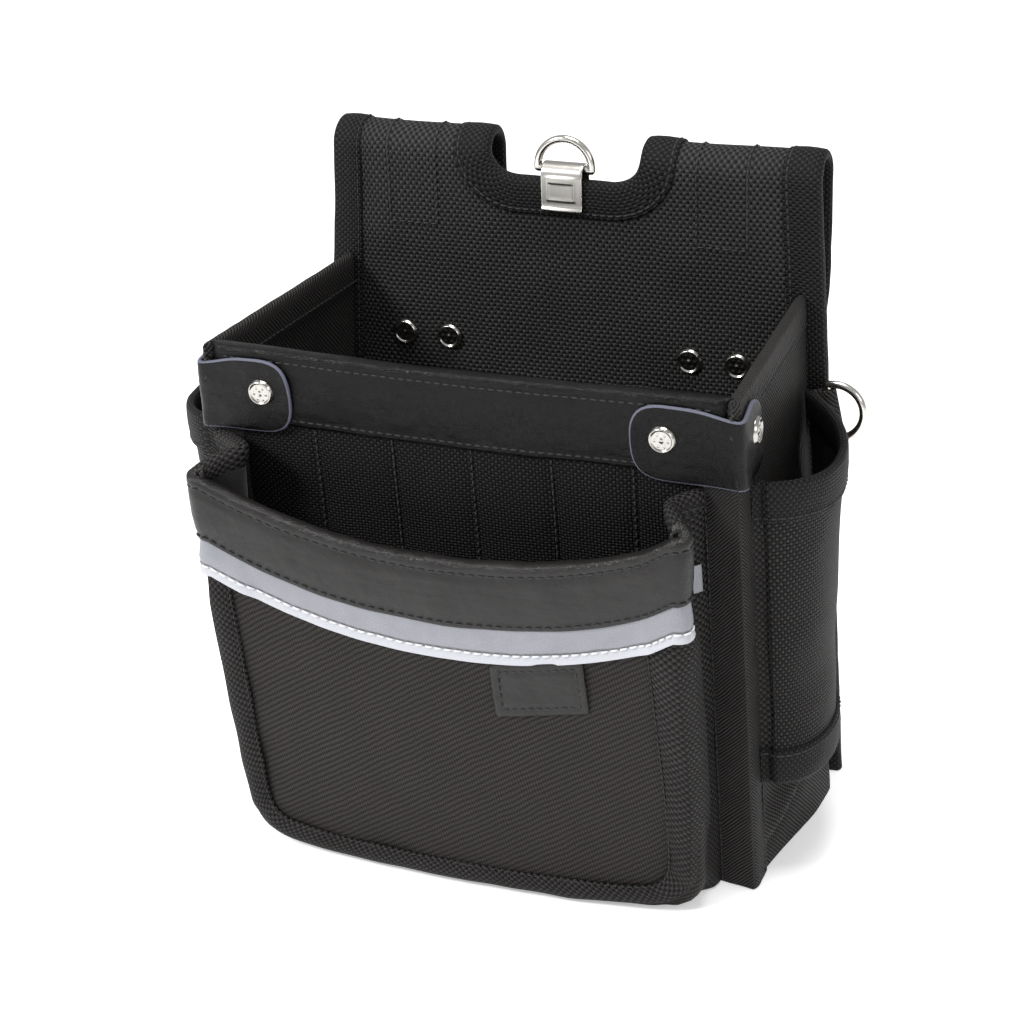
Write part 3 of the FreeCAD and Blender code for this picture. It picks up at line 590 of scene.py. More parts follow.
def reflective_tape():
    """Pale cloth covered in tiny glass beads."""
    made = Finish("reflective_tape", specular_ior_level=0.5)
    _, v, place = made.weave_axes()
    beads = made.noise(place, 1.6, 3.0, 0.8)
    creases = made.noise(place, 0.12, 3.0)
    upper = made.blend(made.math("MULTIPLY", beads, made.spread(creases, 0.7, 1.3)),
                       rgb(0.10, 0.103, 0.118), rgb(0.30, 0.305, 0.335))
    lower = made.blend(beads, rgb(0.30, 0.305, 0.33), rgb(0.50, 0.51, 0.545))
    edge = made.node("MapRange", {"interpolation_type": "SMOOTHSTEP"},
                     Value=v, From_Min=REFLECTOR_SEAM, From_Max=REFLECTOR_SEAM + 1.6)
    # painted shade: the colour darkens to near black in the groove along the seam
    away = made.math("ABSOLUTE", made.math("SUBTRACT", v, REFLECTOR_SEAM))
    seam = made.node("MapRange", Value=away, From_Min=0.3, From_Max=0.9, To_Min=0.75, To_Max=0.0)
    strips = made.blend(edge.outputs[0], upper, lower)
    made.colour(made.blend(seam.outputs[0], strips, rgb(0.06, 0.06, 0.065)))
    made.roughness(made.spread(beads, 0.35, 0.6))
    made.bump(beads, 0.08)
    return made.material


BALLISTIC = woven("ballistic_cloth", 1.5, 1.93, rgb(0.0475, 0.0457, 0.0452), -0.12, 0.6, base=0.62)
# a darker copy of the ballistic cloth: painted shade on the front wall, which stands in shade
FRONT_CLOTH = woven("front_cloth", 1.5, 1.32, rgb(0.028, 0.0268, 0.0264), 0.1, 0.6)
SIDE_CLOTH = woven("side_cloth", 1.35, 1.6, rgb(0.044, 0.0405, 0.039), 0.12, 0.5)
GUSSET_CLOTH = woven("gusset_cloth", 1.55, 1.55, rgb(0.039, 0.0363, 0.0353), -0.1, 0.5, base=0.55)
EDGE_TAPE = woven("edge_tape", 1.3, 1.55, rgb(0.024, 0.0229, 0.0225), -0.1, 0.5, base=0.5)
POCKET_CLOTH = ribbed("pocket_cloth", 2.69, 0.0, rgb(0.0280, 0.0245, 0.0232), 0.22, slope=-0.65,
                      dark=rgb(0.0085, 0.0074, 0.0070), cross=0.3, fine=4.1, cut=0.62)
HERRINGBONE = ribbed("herringbone_tape", 2.3, 7.5, rgb(0.044, 0.0405, 0.039), 0.7)
CORNER_TAPE = ribbed("corner_tape", 1.7, 15.0, rgb(0.042, 0.0388, 0.0375), 0.6)
TWILL = ribbed("twill_webbing", 2.3, 0.0, rgb(0.042, 0.039, 0.0378), 0.6)
# one leather in two copies: this darker copy is painted shade on the main band and the corner
# straps
SHADED_LEATHER = leather("shaded_leather", rgb(0.0009, 0.0008, 0.0008),
                        rgb(0.0040, 0.0036, 0.0035), 0.16)
# the lighter copy of the same leather: painted light on the front pocket's band and the label
POCKET_LEATHER = leather("pocket_leather", rgb(0.0050, 0.0045, 0.0043),
                         rgb(0.016, 0.0146, 0.0140), 0.26)
PALE_THREAD = plain("pale_thread", rgb(0.45, 0.45, 0.47), rgb(0.75, 0.75, 0.78), 3.0)
RAW_EDGE = plain("raw_leather_edge", rgb(0.035, 0.036, 0.055), rgb(0.12, 0.125, 0.17), 1.5)
THREAD = plain("black_thread", rgb(0.004, 0.004, 0.004), rgb(0.019, 0.019, 0.02), 3.0)
SUEDE = plain("grey_lining", rgb(0.006, 0.006, 0.0062), rgb(0.018, 0.0178, 0.0185), 0.9,
              rough=(0.85, 1.0), bump=0.2, sheen_weight=0.15)
BOARD = plain("stiffener_board", rgb(0.02, 0.02, 0.02), rgb(0.04, 0.04, 0.04), 0.4)
NICKEL = metal("polished_nickel", 0.12, 0.24)
SATIN = metal("satin_nickel", 0.16, 0.26, tint=0.72)
BRUSHED = metal("brushed_nickel", 0.24, 0.38, brushed=True, tint=0.8)
REFLECTIVE = reflective_tape()


# ---------------------------------------------------------------- tape folded over an edge


TAPE_RIPPLE = (9.0, 0.22)


def lap_section(front, rear, core):
    """The outer face of tape in section: o outward from the edge, f in front of the cloth."""
    top, puff = TAPE + 0.15, 0.35
    turn = np.radians(np.linspace(75, -75, 9))
    half = core / 2 + top
    o = [-front, -front + 0.5, -front + 2.2, -front + 4, -front * 0.45, -2.5]
    f = [0.35, top * 0.8, top - 0.2, top + 0.1, top + puff, top + puff * 0.6]
    o = np.concatenate([o, 2.0 * np.cos(turn), [-2.5, -rear * 0.5, -rear + 2.2, -rear]])
    f = np.concatenate([f, -core / 2 + half * np.sin(turn),
                        [-core - top - 0.1, -core - top, -core - top + 0.2, -core - 0.5]])
    return o, f


def binding(name, along, mapper, core, nodes, material, front=LAP, rear=LAP, side=RIGHT,
            rows=("front",), group="tape", pinch=0.0):
    """Tape over a raw edge. Mapper(along, o, f) gives the points of the right-hand side."""
    o, f = lap_section(front, rear, core)
    ends = np.minimum(along - along.min(), along.max() - along)
    close = smooth(0.12 + ends / pinch)[:, None] if pinch else 1.0
    grid = mapper(along[:, None], o[None, :], -core / 2 + (f[None, :] + core / 2) * close)
    middle = along[len(along) // 2]
    facing = (mapper(middle, o[7], f[7] + 1) - mapper(middle, o[7], f[7])).ravel()
    probe = grid[len(along) // 2 - 1:len(along) // 2 + 1, 3:6].reshape(-1, 3)
    flipped = point_normals(probe, grid_faces(2, 3))[1] @ facing < 0
    faces = grid_faces(*grid.shape[:2])
    if flipped:
        faces = faces[:, ::-1]
    run = lengths(mapper(along, 0.0, 0.0))
    across = lengths(np.column_stack([o, f]))
    across -= across[np.argmax(o)]
    coords = pairs(run, across)
    cloth(name, grid.reshape(-1, 3), faces, coords, TAPE, material, "binding_tape",
          nodes=nodes, side=side, ripple=TAPE_RIPPLE)
    for row in rows:
        reach, lift = (-front + 2.2, f[2]) if row == "front" else (-rear + 2.2, -core - TAPE)
        line = mapper(along, reach, lift)
        above = mapper(along, reach, lift + np.sign(lift)) - line
        stitch(group, line, unit(above), ripple=TAPE_RIPPLE, side=side)


# ---------------------------------------------------------------- back panel


def ear_line():
    """The back cloth in section, as (y, z): up the front, over the fold, down the flap."""
    turn = np.radians(np.linspace(180, 0, 19))
    fold = np.column_stack([BACK_Y + FOLD_RADIUS + FOLD_RADIUS * np.cos(turn),
                            FOLD_Z + FOLD_RADIUS * np.sin(turn)])
    seat = BACK_REAR_Y + 4
    down = np.array([
        [loop_high[1] - 0.2, 262], [loop_high[1] - 0.8, 240], [loop_high[1] - 2.5, 228],
        [seat + 5, 215], [seat + 1, 207], [seat, 202], [seat, TAIL_Z],
    ])
    return np.concatenate([[[BACK_Y, 0]], fold, down])


BACK_RIPPLE = (34.0, 1.1)
EAR = ear_line()
EAR_RUN = lengths(EAR)
EAR_LENGTH = EAR_RUN[-1]


def ear_map(x, s, lift=0.0):
    """A point of the back cloth: x across, s up its length, lift in front of its outer face."""
    y, z = np.interp(s, EAR_RUN, EAR[:, 0]), np.interp(s, EAR_RUN, EAR[:, 1])
    reach = 2.5
    dy = np.interp(s + reach, EAR_RUN, EAR[:, 0]) - np.interp(s - reach, EAR_RUN, EAR[:, 0])
    dz = np.interp(s + reach, EAR_RUN, EAR[:, 1]) - np.interp(s - reach, EAR_RUN, EAR[:, 1])
    long = np.maximum(np.hypot(dy, dz), 1e-9)
    return vec(x, y - lift * dz / long, z + lift * dy / long)


def back_half(s):
    return mix(BACK_HALF, EAR_HALF, np.clip(s / FOLD_Z, 0, 1))


def notch_curve():
    """The right half of the notch, from the middle of its floor up to the fold."""
    t = np.linspace(0, 1, 12)[:, None]
    start, corner, end = (np.array(p) for p in (
        (NOTCH_FLOOR_HALF, NOTCH_FLOOR), (NOTCH_HALF, NOTCH_FLOOR + 1.5), (NOTCH_HALF, FOLD_Z + 6)))
    bend = (1 - t) ** 2 * start + 2 * t * (1 - t) * corner + t * t * end
    return np.concatenate([[[0, NOTCH_FLOOR]], bend])


def back_outline(top):
    right = notch_curve()[1:]
    left = right[::-1] * [-1, 1]
    if top <= FOLD_Z:
        right, left = right[right[:, 1] < top], left[left[:, 1] < top]
    return np.concatenate([
        [(-BACK_HALF, 0), (BACK_HALF, 0), (EAR_HALF, FOLD_Z)],
        [(EAR_HALF, top), (NOTCH_HALF, top)] if top > FOLD_Z else [(NOTCH_HALF, top)],
        right[::-1], left[::-1],
        [(-NOTCH_HALF, top), (-EAR_HALF, top)] if top > FOLD_Z else [(-NOTCH_HALF, top)],
        [(-EAR_HALF, FOLD_Z)],
    ])


def back_panel():
    flat, faces = region(back_outline(EAR_LENGTH), 3.0)
    x, s = flat.T
    near_rivets = sum(groove(np.hypot(np.abs(x) - reach, s - BACK_RIVET_Z + 1.5), 7)
                      for reach in RIVET_REACHES.values())
    points = ear_map(x, s, -0.5 * near_rivets)
    cloth("back_cloth", points, faces, flat, SHEET, BALLISTIC, "ballistic_nylon",
          nodes=("back_face_panel", "belt_loop_left", "belt_loop_right"), ripple=BACK_RIPPLE)
    flat, faces = region(back_outline(FOLD_Z - 0.5), 5.0)
    points = vec(flat[:, 0], BACK_REAR_Y, flat[:, 1])
    cloth("back_rear_cloth", points, faces[:, ::-1], flat, SHEET, GUSSET_CLOTH, "ballistic_nylon",
          nodes=("back_rear_panel",), ripple=(40.0, 0.5))


def back_bindings():
    core = BACK_REAR_Y - BACK_Y
    shrink = (2.4 + TAPE) / (core + TAPE)

    def slimmer(s, f):
        """The flap is thinner than the panel, so the rear lap lies closer there."""
        share = mix(1.0, shrink, smooth((s - FOLD_Z) / 20))
        return np.where(f < 0, f * share, f)

    s = np.concatenate([np.linspace(0, 264, 60), np.linspace(268, 330, 26),
                        np.linspace(335, EAR_LENGTH, 22)])
    for name, side in SIDES.items():
        binding(f"back_edge_tape_{name}", s,
                lambda a, o, f: ear_map(back_half(a) + o, a + 0 * o, slimmer(a, f)),
                core, (f"back_edge_binding_{name}",), EDGE_TAPE, side=side, group="back")
    right = notch_curve()
    down = np.column_stack([np.full(24, NOTCH_HALF), np.linspace(EAR_LENGTH, FOLD_Z + 9, 24)])
    half = np.concatenate([down, right[:0:-1]])
    path = np.concatenate([half, half[::-1] * [-1, 1]])
    run = lengths(path)
    places = np.arange(0, run[-1], 2.2)

    def notch(a, o, f):
        x, s = at(path, np.ravel(a)).T
        ahead = at(path, np.ravel(a) + 2) - at(path, np.ravel(a) - 2)
        along = unit(ahead)
        # the notch lies to the left of travel down the right-hand ear and across the floor
        nx, ns = along[:, 1], -along[:, 0]
        shape = np.shape(a)
        x, s, nx, ns = (part.reshape(shape) for part in (x, s, nx, ns))
        return ear_map(x + nx * o, s + ns * o, slimmer(s, f))

    binding("notch_tape", places, notch, core, ("notch_binding",), EDGE_TAPE, group="back")


def ear_webbing():
    """The webbing that backs each loop in its tunnel, and the boxes of stitches that hold it."""
    near, far, low = 60.0, 85.0, 248.5
    turn = np.radians(np.linspace(180, 0, 13))
    radius = FOLD_RADIUS - (BACK_REAR_Y - BACK_Y) - 0.1
    front = BACK_REAR_Y + 0.1
    axis = BACK_Y + FOLD_RADIUS
    bend = radius - 1.4
    fold = np.column_stack([axis + bend * np.cos(turn), FOLD_Z + bend * np.sin(turn)])
    section = np.concatenate([[[front + 1.4, low]], fold,
                              [[axis + radius - 2.4, 230], [front + 3, 207], [front + 1.4, 203],
                               [front + 1.4, TAIL_Z]]])
    section = at(section, np.linspace(0, lengths(section)[-1], 60))
    grid = vec(np.linspace(near, far, 8)[None, :], section[:, :1], section[:, 1:])
    top = FOLD_Z + 62
    up, across = np.linspace(low, top, 60), np.linspace(near + 1, far - 1, 8)
    for name, side in SIDES.items():
        grid_cloth(f"loop_webbing_{name}", grid, (0, 0, -1), 1.2, TWILL, "webbing",
                   nodes=(f"belt_loop_webbing_{name}",), side=side)
        flip = np.array([side, 1, 1])
        for x_row, s_row, lift in ((near + 1, up, 0.25), (far - 1, up, 0.25),
                                   (across, low, 0.3), (across, top, 0.3)):
            line = ear_map(x_row, s_row, lift)
            above = ear_map(x_row, s_row, 1.3) - line
            stitch("back", line * flip, above * flip, ripple=BACK_RIPPLE)


# ---------------------------------------------------------------- main pocket


def front_wall():
    z = np.linspace(0, MOUTH_Z - 1, 80)[:, None]
    share = np.linspace(-1, 1, 121)[None, :]
    x = share * (corner_x(z) - SIDE_THICK - 0.8)
    seam = sum(groove(x - s, 2.2) for s in SLOT_SEAMS)
    below = 1 - smooth((z - SEAM_TOP + 11) / 12)
    puff = 1.3 * np.abs(np.sin(math.pi * (x - SLOT_SEAMS[0]) / SLOT_PITCH)) ** 0.6
    grid = vec(x, front_y(z) + (0.7 * seam - 0.6 * puff) * below, z)
    coords = in_plane(grid, [0, 2])
    grid_cloth("main_front_cloth", grid, (0, -1, 0), SHEET, FRONT_CLOTH, "ballistic_nylon",
               coords=coords, nodes=("main_front_panel",), ripple=(26.0, 0.4))
    inside = vec(x, front_y(z) + 5.0, z)
    grid_cloth("main_front_inner_cloth", inside, (0, 1, 0), SHEET, GUSSET_CLOTH, "lining",
               coords=coords, nodes=("main_front_lining",), ripple=(30.0, 0.5))
    rows = np.linspace(8, SEAM_TOP, 60)
    for seam_x in SLOT_SEAMS:
        stitch("main_front", vec(seam_x, front_y(rows) - 0.05, rows), (0, -1, 0))


def slot_strip():
    """The tool slots sewn inside the front wall: scallops between the seams."""
    low, high = corners("tool_slot_strip")
    seams = [low[0], *SLOT_SEAMS, high[0]]
    x = np.linspace(low[0], high[0], 150)
    rise = np.zeros_like(x)
    for left, right in zip(seams, seams[1:]):
        inside = (x >= left) & (x <= right)
        rise[inside] = 3.2 * np.sin(math.pi * (x[inside] - left) / (right - left)) ** 0.55
    z = np.linspace(low[2], high[2], 40)[:, None]
    grid = vec(x[None, :], front_y(z) + 6.2 + rise[None, :], z)
    grid_cloth("tool_slots", grid, (0, 1, 0), SHEET, BALLISTIC, "ballistic_nylon",
               coords=in_plane(grid, [0, 2]), nodes=("tool_slot_strip",), ripple=(20.0, 0.4))

    def rim(a, o, f):
        return vec(a, front_y(high[2] + o) + 6.2 + np.interp(a, x, rise) + f, high[2] + o)

    binding("tool_slot_rim_tape", x, rim, SHEET, (), EDGE_TAPE, front=8, rear=6, group="slots")


def folded_section(front, rear, core, degrees, over, reach, back):
    """A leather band in section: up its front, round the edge it covers, down its rear."""
    turn = np.radians(degrees)
    bend = np.column_stack([reach * np.cos(turn) - back,
                            -core / 2 + (core / 2 + over) * np.sin(turn)])
    return np.concatenate([front, bend, rear]).T


def front_band():
    """Leather folded over the front wall's top edge, with a rolled lip."""
    wall = 4.7
    front = [(-33, 0.6), (-32.6, 1.3), (-31.5, 1.6), (-30, 1.35), (-28, 1.75), (-20, 2.0),
             (-10, 2.0), (-6, 1.9), (-4.4, 1.5), (-3.4, 1.5), (-2.2, 1.75), (-0.8, 1.5)]
    rear = [(-2, -wall - 1.5), (-8, -wall - 1.4), (-12, -wall - 0.8)]
    o, f = folded_section(front, rear, wall, np.linspace(58, -78, 9), 1.5, 1.1, 0.2)
    reach = band_high[0] + 4
    x = np.linspace(-reach, reach, 130)
    top = MOUTH_Z + 1.4

    def mapper(a, o, f):
        close = smooth(0.1 + (reach - np.abs(a)) / 5)
        z = top + o - 0.9 * np.cos(a / 42)
        return vec(a, front_y(z) + wall / 2 - (f + wall / 2) * close, z + 0 * a)

    grid = mapper(x[:, None], o[None, :], f[None, :])
    coords = pairs(x, lengths(np.column_stack([o, f])))
    ripple = (22.0, 0.45)
    grid_cloth("main_front_band_leather", grid, (0, -1, 0), LEATHER, SHADED_LEATHER,
               "smooth_leather", coords=coords, nodes=("main_front_band",), ripple=ripple)
    for drop, lift in ((-3.9, 1.45), (-30.2, 1.35)):
        line = mapper(x[4:-4], drop, lift)
        stitch("front_band", line, (0, -1, 0), pitch=3.9, length=3.0, ripple=ripple)


def strap_wrap(a, z, lift):
    """A corner strap's outer face: a < 0 runs along the front, a > 0 back along the side."""
    ease = 4.5
    t = np.clip((a + ease) / (2 * ease), 0, 1)
    across = np.where(a < -ease, a, -ease * (1 - t) ** 2)
    back = np.where(a > ease, a, ease * t ** 2)
    y = front_y(z) - lift + back
    flat = side_x(np.maximum(y, front_y(z)), z)
    return vec(flat + lift + across, y, z)


def corner_straps():
    tip = 74.0
    lift = 3.2
    low, high = strap_low[2], strap_high[2]
    front_end, side_end = -(CORNER_TOP + lift - tip), 27.0
    outline = filleted(rectangle((front_end, low), (side_end, high)), [14, 12, 12, 14], 9)
    flat, faces = region(outline, 2.2)
    a, z = flat.T
    z_shown = z - 3.0 * groove(a, 15) * smooth((z - low) / 26) - 0.8 * groove(a, 12)
    curl = 0.5 * groove(a - front_end, 3.0) + 0.5 * groove(a - side_end, 3.0)
    rivet_a = -(CORNER_TOP + lift - STRAP_RIVET_X)
    dent = 0.5 * groove(np.hypot(a - rivet_a, z - STRAP_RIVET_Z + 2), 6.5)
    points = strap_wrap(a, z_shown, lift + curl - dent + 0.4)
    for name, side in SIDES.items():
        cloth(f"corner_strap_leather_{name}", points, faces, flat, 1.8, SHADED_LEATHER,
              "smooth_leather", nodes=(f"corner_strap_{name}",), side=side, edge=RAW_EDGE,
              ripple=(15.0, 0.5))


def corner_tapes():
    """Tape over each front corner's seam, a soft ridge with a lap on either face."""
    inner, leg = 104.0, 14.0
    z = np.linspace(0, strap_low[2] + 4, 100)[:, None]
    section = np.array([
        (inner, 0.3), (inner + 0.5, 1.0), (inner + 2.5, 0.9), (inner + 5, 1.5), (inner + 10, 1.9),
        (inner + 14, 2.6), (inner + 17, 3.4),
    ])
    corner = corner_x(z)
    x = np.concatenate([
        np.broadcast_to(section[:, 0], (len(z), len(section))) - CORNER_FOOT + corner,
        corner + np.array([[0.2, 1.1, 1.6, 1.7, 1.6, 1.5, 1.3, 1.2, 0.4]]),
    ], 1)
    y = np.concatenate([
        front_y(z) - section[:, 1],
        front_y(z) + np.array([[-3.2, -1.7, 0.4, 2.6, 5.0, 8.0, 11.0, leg - 0.6, leg]]),
    ], 1)
    grid = vec(x, y, z)
    ridge = len(section) + 1
    run = lengths(grid[50])
    coords = pairs(z.ravel(), run - run[ridge])
    for name, side in SIDES.items():
        grid_cloth(f"corner_seam_tape_{name}", grid, (1, -1, 0), TAPE, CORNER_TAPE, "binding_tape",
                   coords=coords, nodes=(f"front_corner_binding_{name}",), side=side,
                   ripple=(12.0, 0.5))
        stitch("corners", grid[:, 2], (0, -1, 0), side=side)
        stitch("corners", grid[:, -3] + [0.1, 0, 0], (1, 0, 0), side=side)


def side_panels():
    z = np.linspace(0, MOUTH_Z - 0.5, 80)[:, None]
    share = np.linspace(0, 1, 56)[None, :]
    y = mix(front_y(z) + 0.6, BACK_Y - 0.3, share)
    swell = 1.6 * np.sin(math.pi * share) * np.sin(math.pi * z / MOUTH_Z)
    crease = z - 8 - 44 * share ** 1.3
    fold = 5.2 * groove(crease - 8, 7) - 3.0 * groove(crease, 4.5)
    fold = fold * smooth(share * 4) * smooth((1 - share) * 5)
    grid = vec(side_x(y, z) + swell + fold, y, z)
    for name, side in SIDES.items():
        grid_cloth(f"side_webbing_{name}", grid, (1, 0, 0), SIDE_THICK, TWILL, "webbing",
                   coords=in_plane(grid, [1, 2]), nodes=(f"side_panel_{name}",), side=side,
                   ripple=(30.0, 1.0))

        def top(a, o, f):
            return vec(side_x(a, MOUTH_Z) + f, a, MOUTH_Z + 0.6 + o)

        along = np.linspace(front_y(MOUTH_Z) - 2.6, BACK_Y + 0.6, 72)
        binding(f"side_top_tape_{name}", along, top, SIDE_THICK, (f"side_top_binding_{name}",),
                HERRINGBONE, front=13, rear=14, side=side, rows=("front", "rear"), group="sides",
                pinch=5.0)


def floors():
    """The sheets that close the pockets below."""
    for name, node in {
        "bottom_cloth": "bottom_panel",
        "front_pocket_floor_cloth": "front_pocket_floor",
        "side_pocket_floor_cloth_left": "side_pocket_floor_left",
        "side_pocket_floor_cloth_right": "side_pocket_floor_right",
    }.items():
        low, high = corners(node)
        if name.startswith("side"):
            sign = math.copysign(1, low[0])
            inner = min(abs(low[0]), abs(high[0]))
            bow = pouch_wall(np.linspace(0, 1, 16), high[2], -1.0)[:, :2]
            outline = np.concatenate([[(inner, bow[0, 1])], bow, [(inner, bow[-1, 1])]])
            flat, faces = region(outline, 4.0)
            flat = flat * [sign, 1]
            if sign < 0:
                faces = faces[:, ::-1]
        else:
            flat, faces = region(filleted(rectangle(low, high), 4), 6.0)
        cloth(name, vec(*flat.T, high[2]), faces, flat, SHEET, GUSSET_CLOTH, "gusset_cloth",
              nodes=(node,), ripple=(30.0, 0.3))


# ---------------------------------------------------------------- front pocket

CORNER_START, CORNER_END = 1.0, 1.12  # along the wall, where its front is 0 to 1
POCKET_CORE = 3.8  # the thickness of the rim's cloth and lining


def pocket_face(share, z):
    """The front pocket's face, which bows forward between its side edges at share -1 and 1."""
    bow = 9.0 * (1 - np.clip(share, 0, 1) ** 2) * np.clip(1 - z / POCKET_END_Z, 0, 1) ** 1.2
    return POCKET_FOOT + POCKET_SLOPE * z - bow


def pocket_wall(c, z):
    """The front pocket's outer face. |c| < 1 is the front, then a corner, then a pleated gusset."""
    a, side = np.abs(c), np.sign(c)
    height = z / POCKET_END_Z
    half = mix(POCKET_FOOT_HALF, POCKET_HALF, height)
    bend = 5.0
    face = POCKET_FOOT + POCKET_SLOPE * z
    t = np.clip((a - CORNER_START) / (CORNER_END - CORNER_START), 0, 1)
    round_x = half - bend * (1 - t) ** 2
    round_y = face + bend * t ** 2
    g = np.clip((a - CORNER_END) / (2 - CORNER_END), 0, 1)
    rear_half = mix(POCKET_FOOT_HALF, POCKET_HALF + np.where(side < 0, 5, -7), height)
    rear = front_y(z) - 2.0
    depth = mix(1.5, np.where(side < 0, 17.0, 8.0), np.clip(height, 0, 1.1) ** 1.3)
    fold_x = mix(half, rear_half, g) - depth * np.sin(math.pi * g) ** 1.4
    fold_y = mix(face + bend, rear, g)
    x = np.where(a <= 1, a * (half - bend), np.where(a < CORNER_END, round_x, fold_x))
    y = np.where(a <= 1, pocket_face(a, z), np.where(a < CORNER_END, round_y, fold_y))
    return vec(x * side, y, z)


def pocket_rim(c):
    """The height of the pocket's rim: a smile across the front, level along the gussets."""
    a = np.abs(c)
    smile = mix(POCKET_MID_Z, POCKET_END_Z, np.clip(a, 0, 1) ** 2.2)
    return smile + 9.0 * smooth((a - 1.0) / 0.45)


def pocket_columns():
    front = np.linspace(-1, 1, 101)
    turn = np.linspace(CORNER_START, CORNER_END, 8)[1:]
    gusset = np.linspace(CORNER_END, 2, 26)[1:]
    side = np.concatenate([turn, gusset])
    return np.concatenate([-side[::-1], front, side])


def wall_normals(c, z):
    """Outward normals of the pocket wall, level in plan."""
    step = 0.012
    along = pocket_wall(c + step, z) - pocket_wall(c - step, z)
    return unit(vec(along[..., 1], -along[..., 0], 0 * along[..., 0]))


def wall_lifted(c, z, lift):
    return pocket_wall(c, z) + wall_normals(c, z) * np.asarray(lift)[..., None]


def wall_coords(c, z):
    """Distances along the wall at one height, and up it."""
    run = lengths(pocket_wall(c, np.full(len(c), 90.0)))
    run -= run[len(run) // 2]
    return np.stack([np.broadcast_to(run, z.shape), z], -1).reshape(-1, 2)


def front_pocket():
    c = pocket_columns()
    rim = pocket_rim(c)[None, :]
    share = np.linspace(0, 1, 56)[:, None]
    under_band = (POCKET_BAND + 4) * (np.abs(c)[None, :] <= CORNER_END + 0.01)
    z = mix(0.6, rim - under_band, share)
    c_grid = np.broadcast_to(c, z.shape)
    grid = wall_lifted(c_grid, z, np.zeros(z.shape))
    pieces = (
        ("front_pocket_cloth", "front_pocket_panel", np.abs(c) <= CORNER_END + 1e-9, (0, -1, 0)),
        ("front_gusset_left_cloth", "front_pocket_gusset_left", c <= -CORNER_END, (-1, 0, 0)),
        ("front_gusset_right_cloth", "front_pocket_gusset_right", c >= CORNER_END, (1, 0, 0)),
    )
    for name, node, chosen, facing in pieces:
        coords = wall_coords(c, z).reshape(*z.shape, 2)[:, chosen].reshape(-1, 2)
        look = (GUSSET_CLOTH, "gusset_cloth") if facing[0] else (POCKET_CLOTH, "ballistic_nylon")
        grid_cloth(name, grid[:, chosen], facing, SHEET, *look, coords=coords, nodes=(node,),
                   ripple=(28.0, 0.9))
    for name, side in SIDES.items():
        turned = np.linspace(CORNER_END + 0.05, 1.97, 40)

        def rim_edge(a, o, f):
            a, o, f = np.broadcast_arrays(a, o, f)
            made = wall_lifted(side * a, pocket_rim(a) + o, f)
            return made * [side, 1, 1]

        binding(f"front_gusset_rim_{name}", turned, rim_edge, POCKET_CORE, (), GUSSET_CLOTH,
                front=7, rear=7, side=side, group="gussets")
    z = mix(1.5, rim - 1.0, np.linspace(0, 1, 50)[:, None])
    grid = wall_lifted(np.broadcast_to(c, z.shape), z, np.full(z.shape, -2.6))
    grid_cloth("front_pocket_lining_cloth", grid, (0, 1, 0), SHEET, SUEDE, "lining",
               coords=wall_coords(c, z), nodes=("front_pocket_lining",), ripple=(24.0, 0.7))


BAND_RIPPLE, REFLECTOR_RIPPLE = (20.0, 0.6), (12.0, 0.35)


def over_border(c):
    """How far the reflective tape is lifted where it crosses the border's top ends."""
    reach = np.abs(c)
    return 1.9 * smooth((reach - 0.80) / 0.08) * (1 - smooth((reach - 1.05) / 0.1))


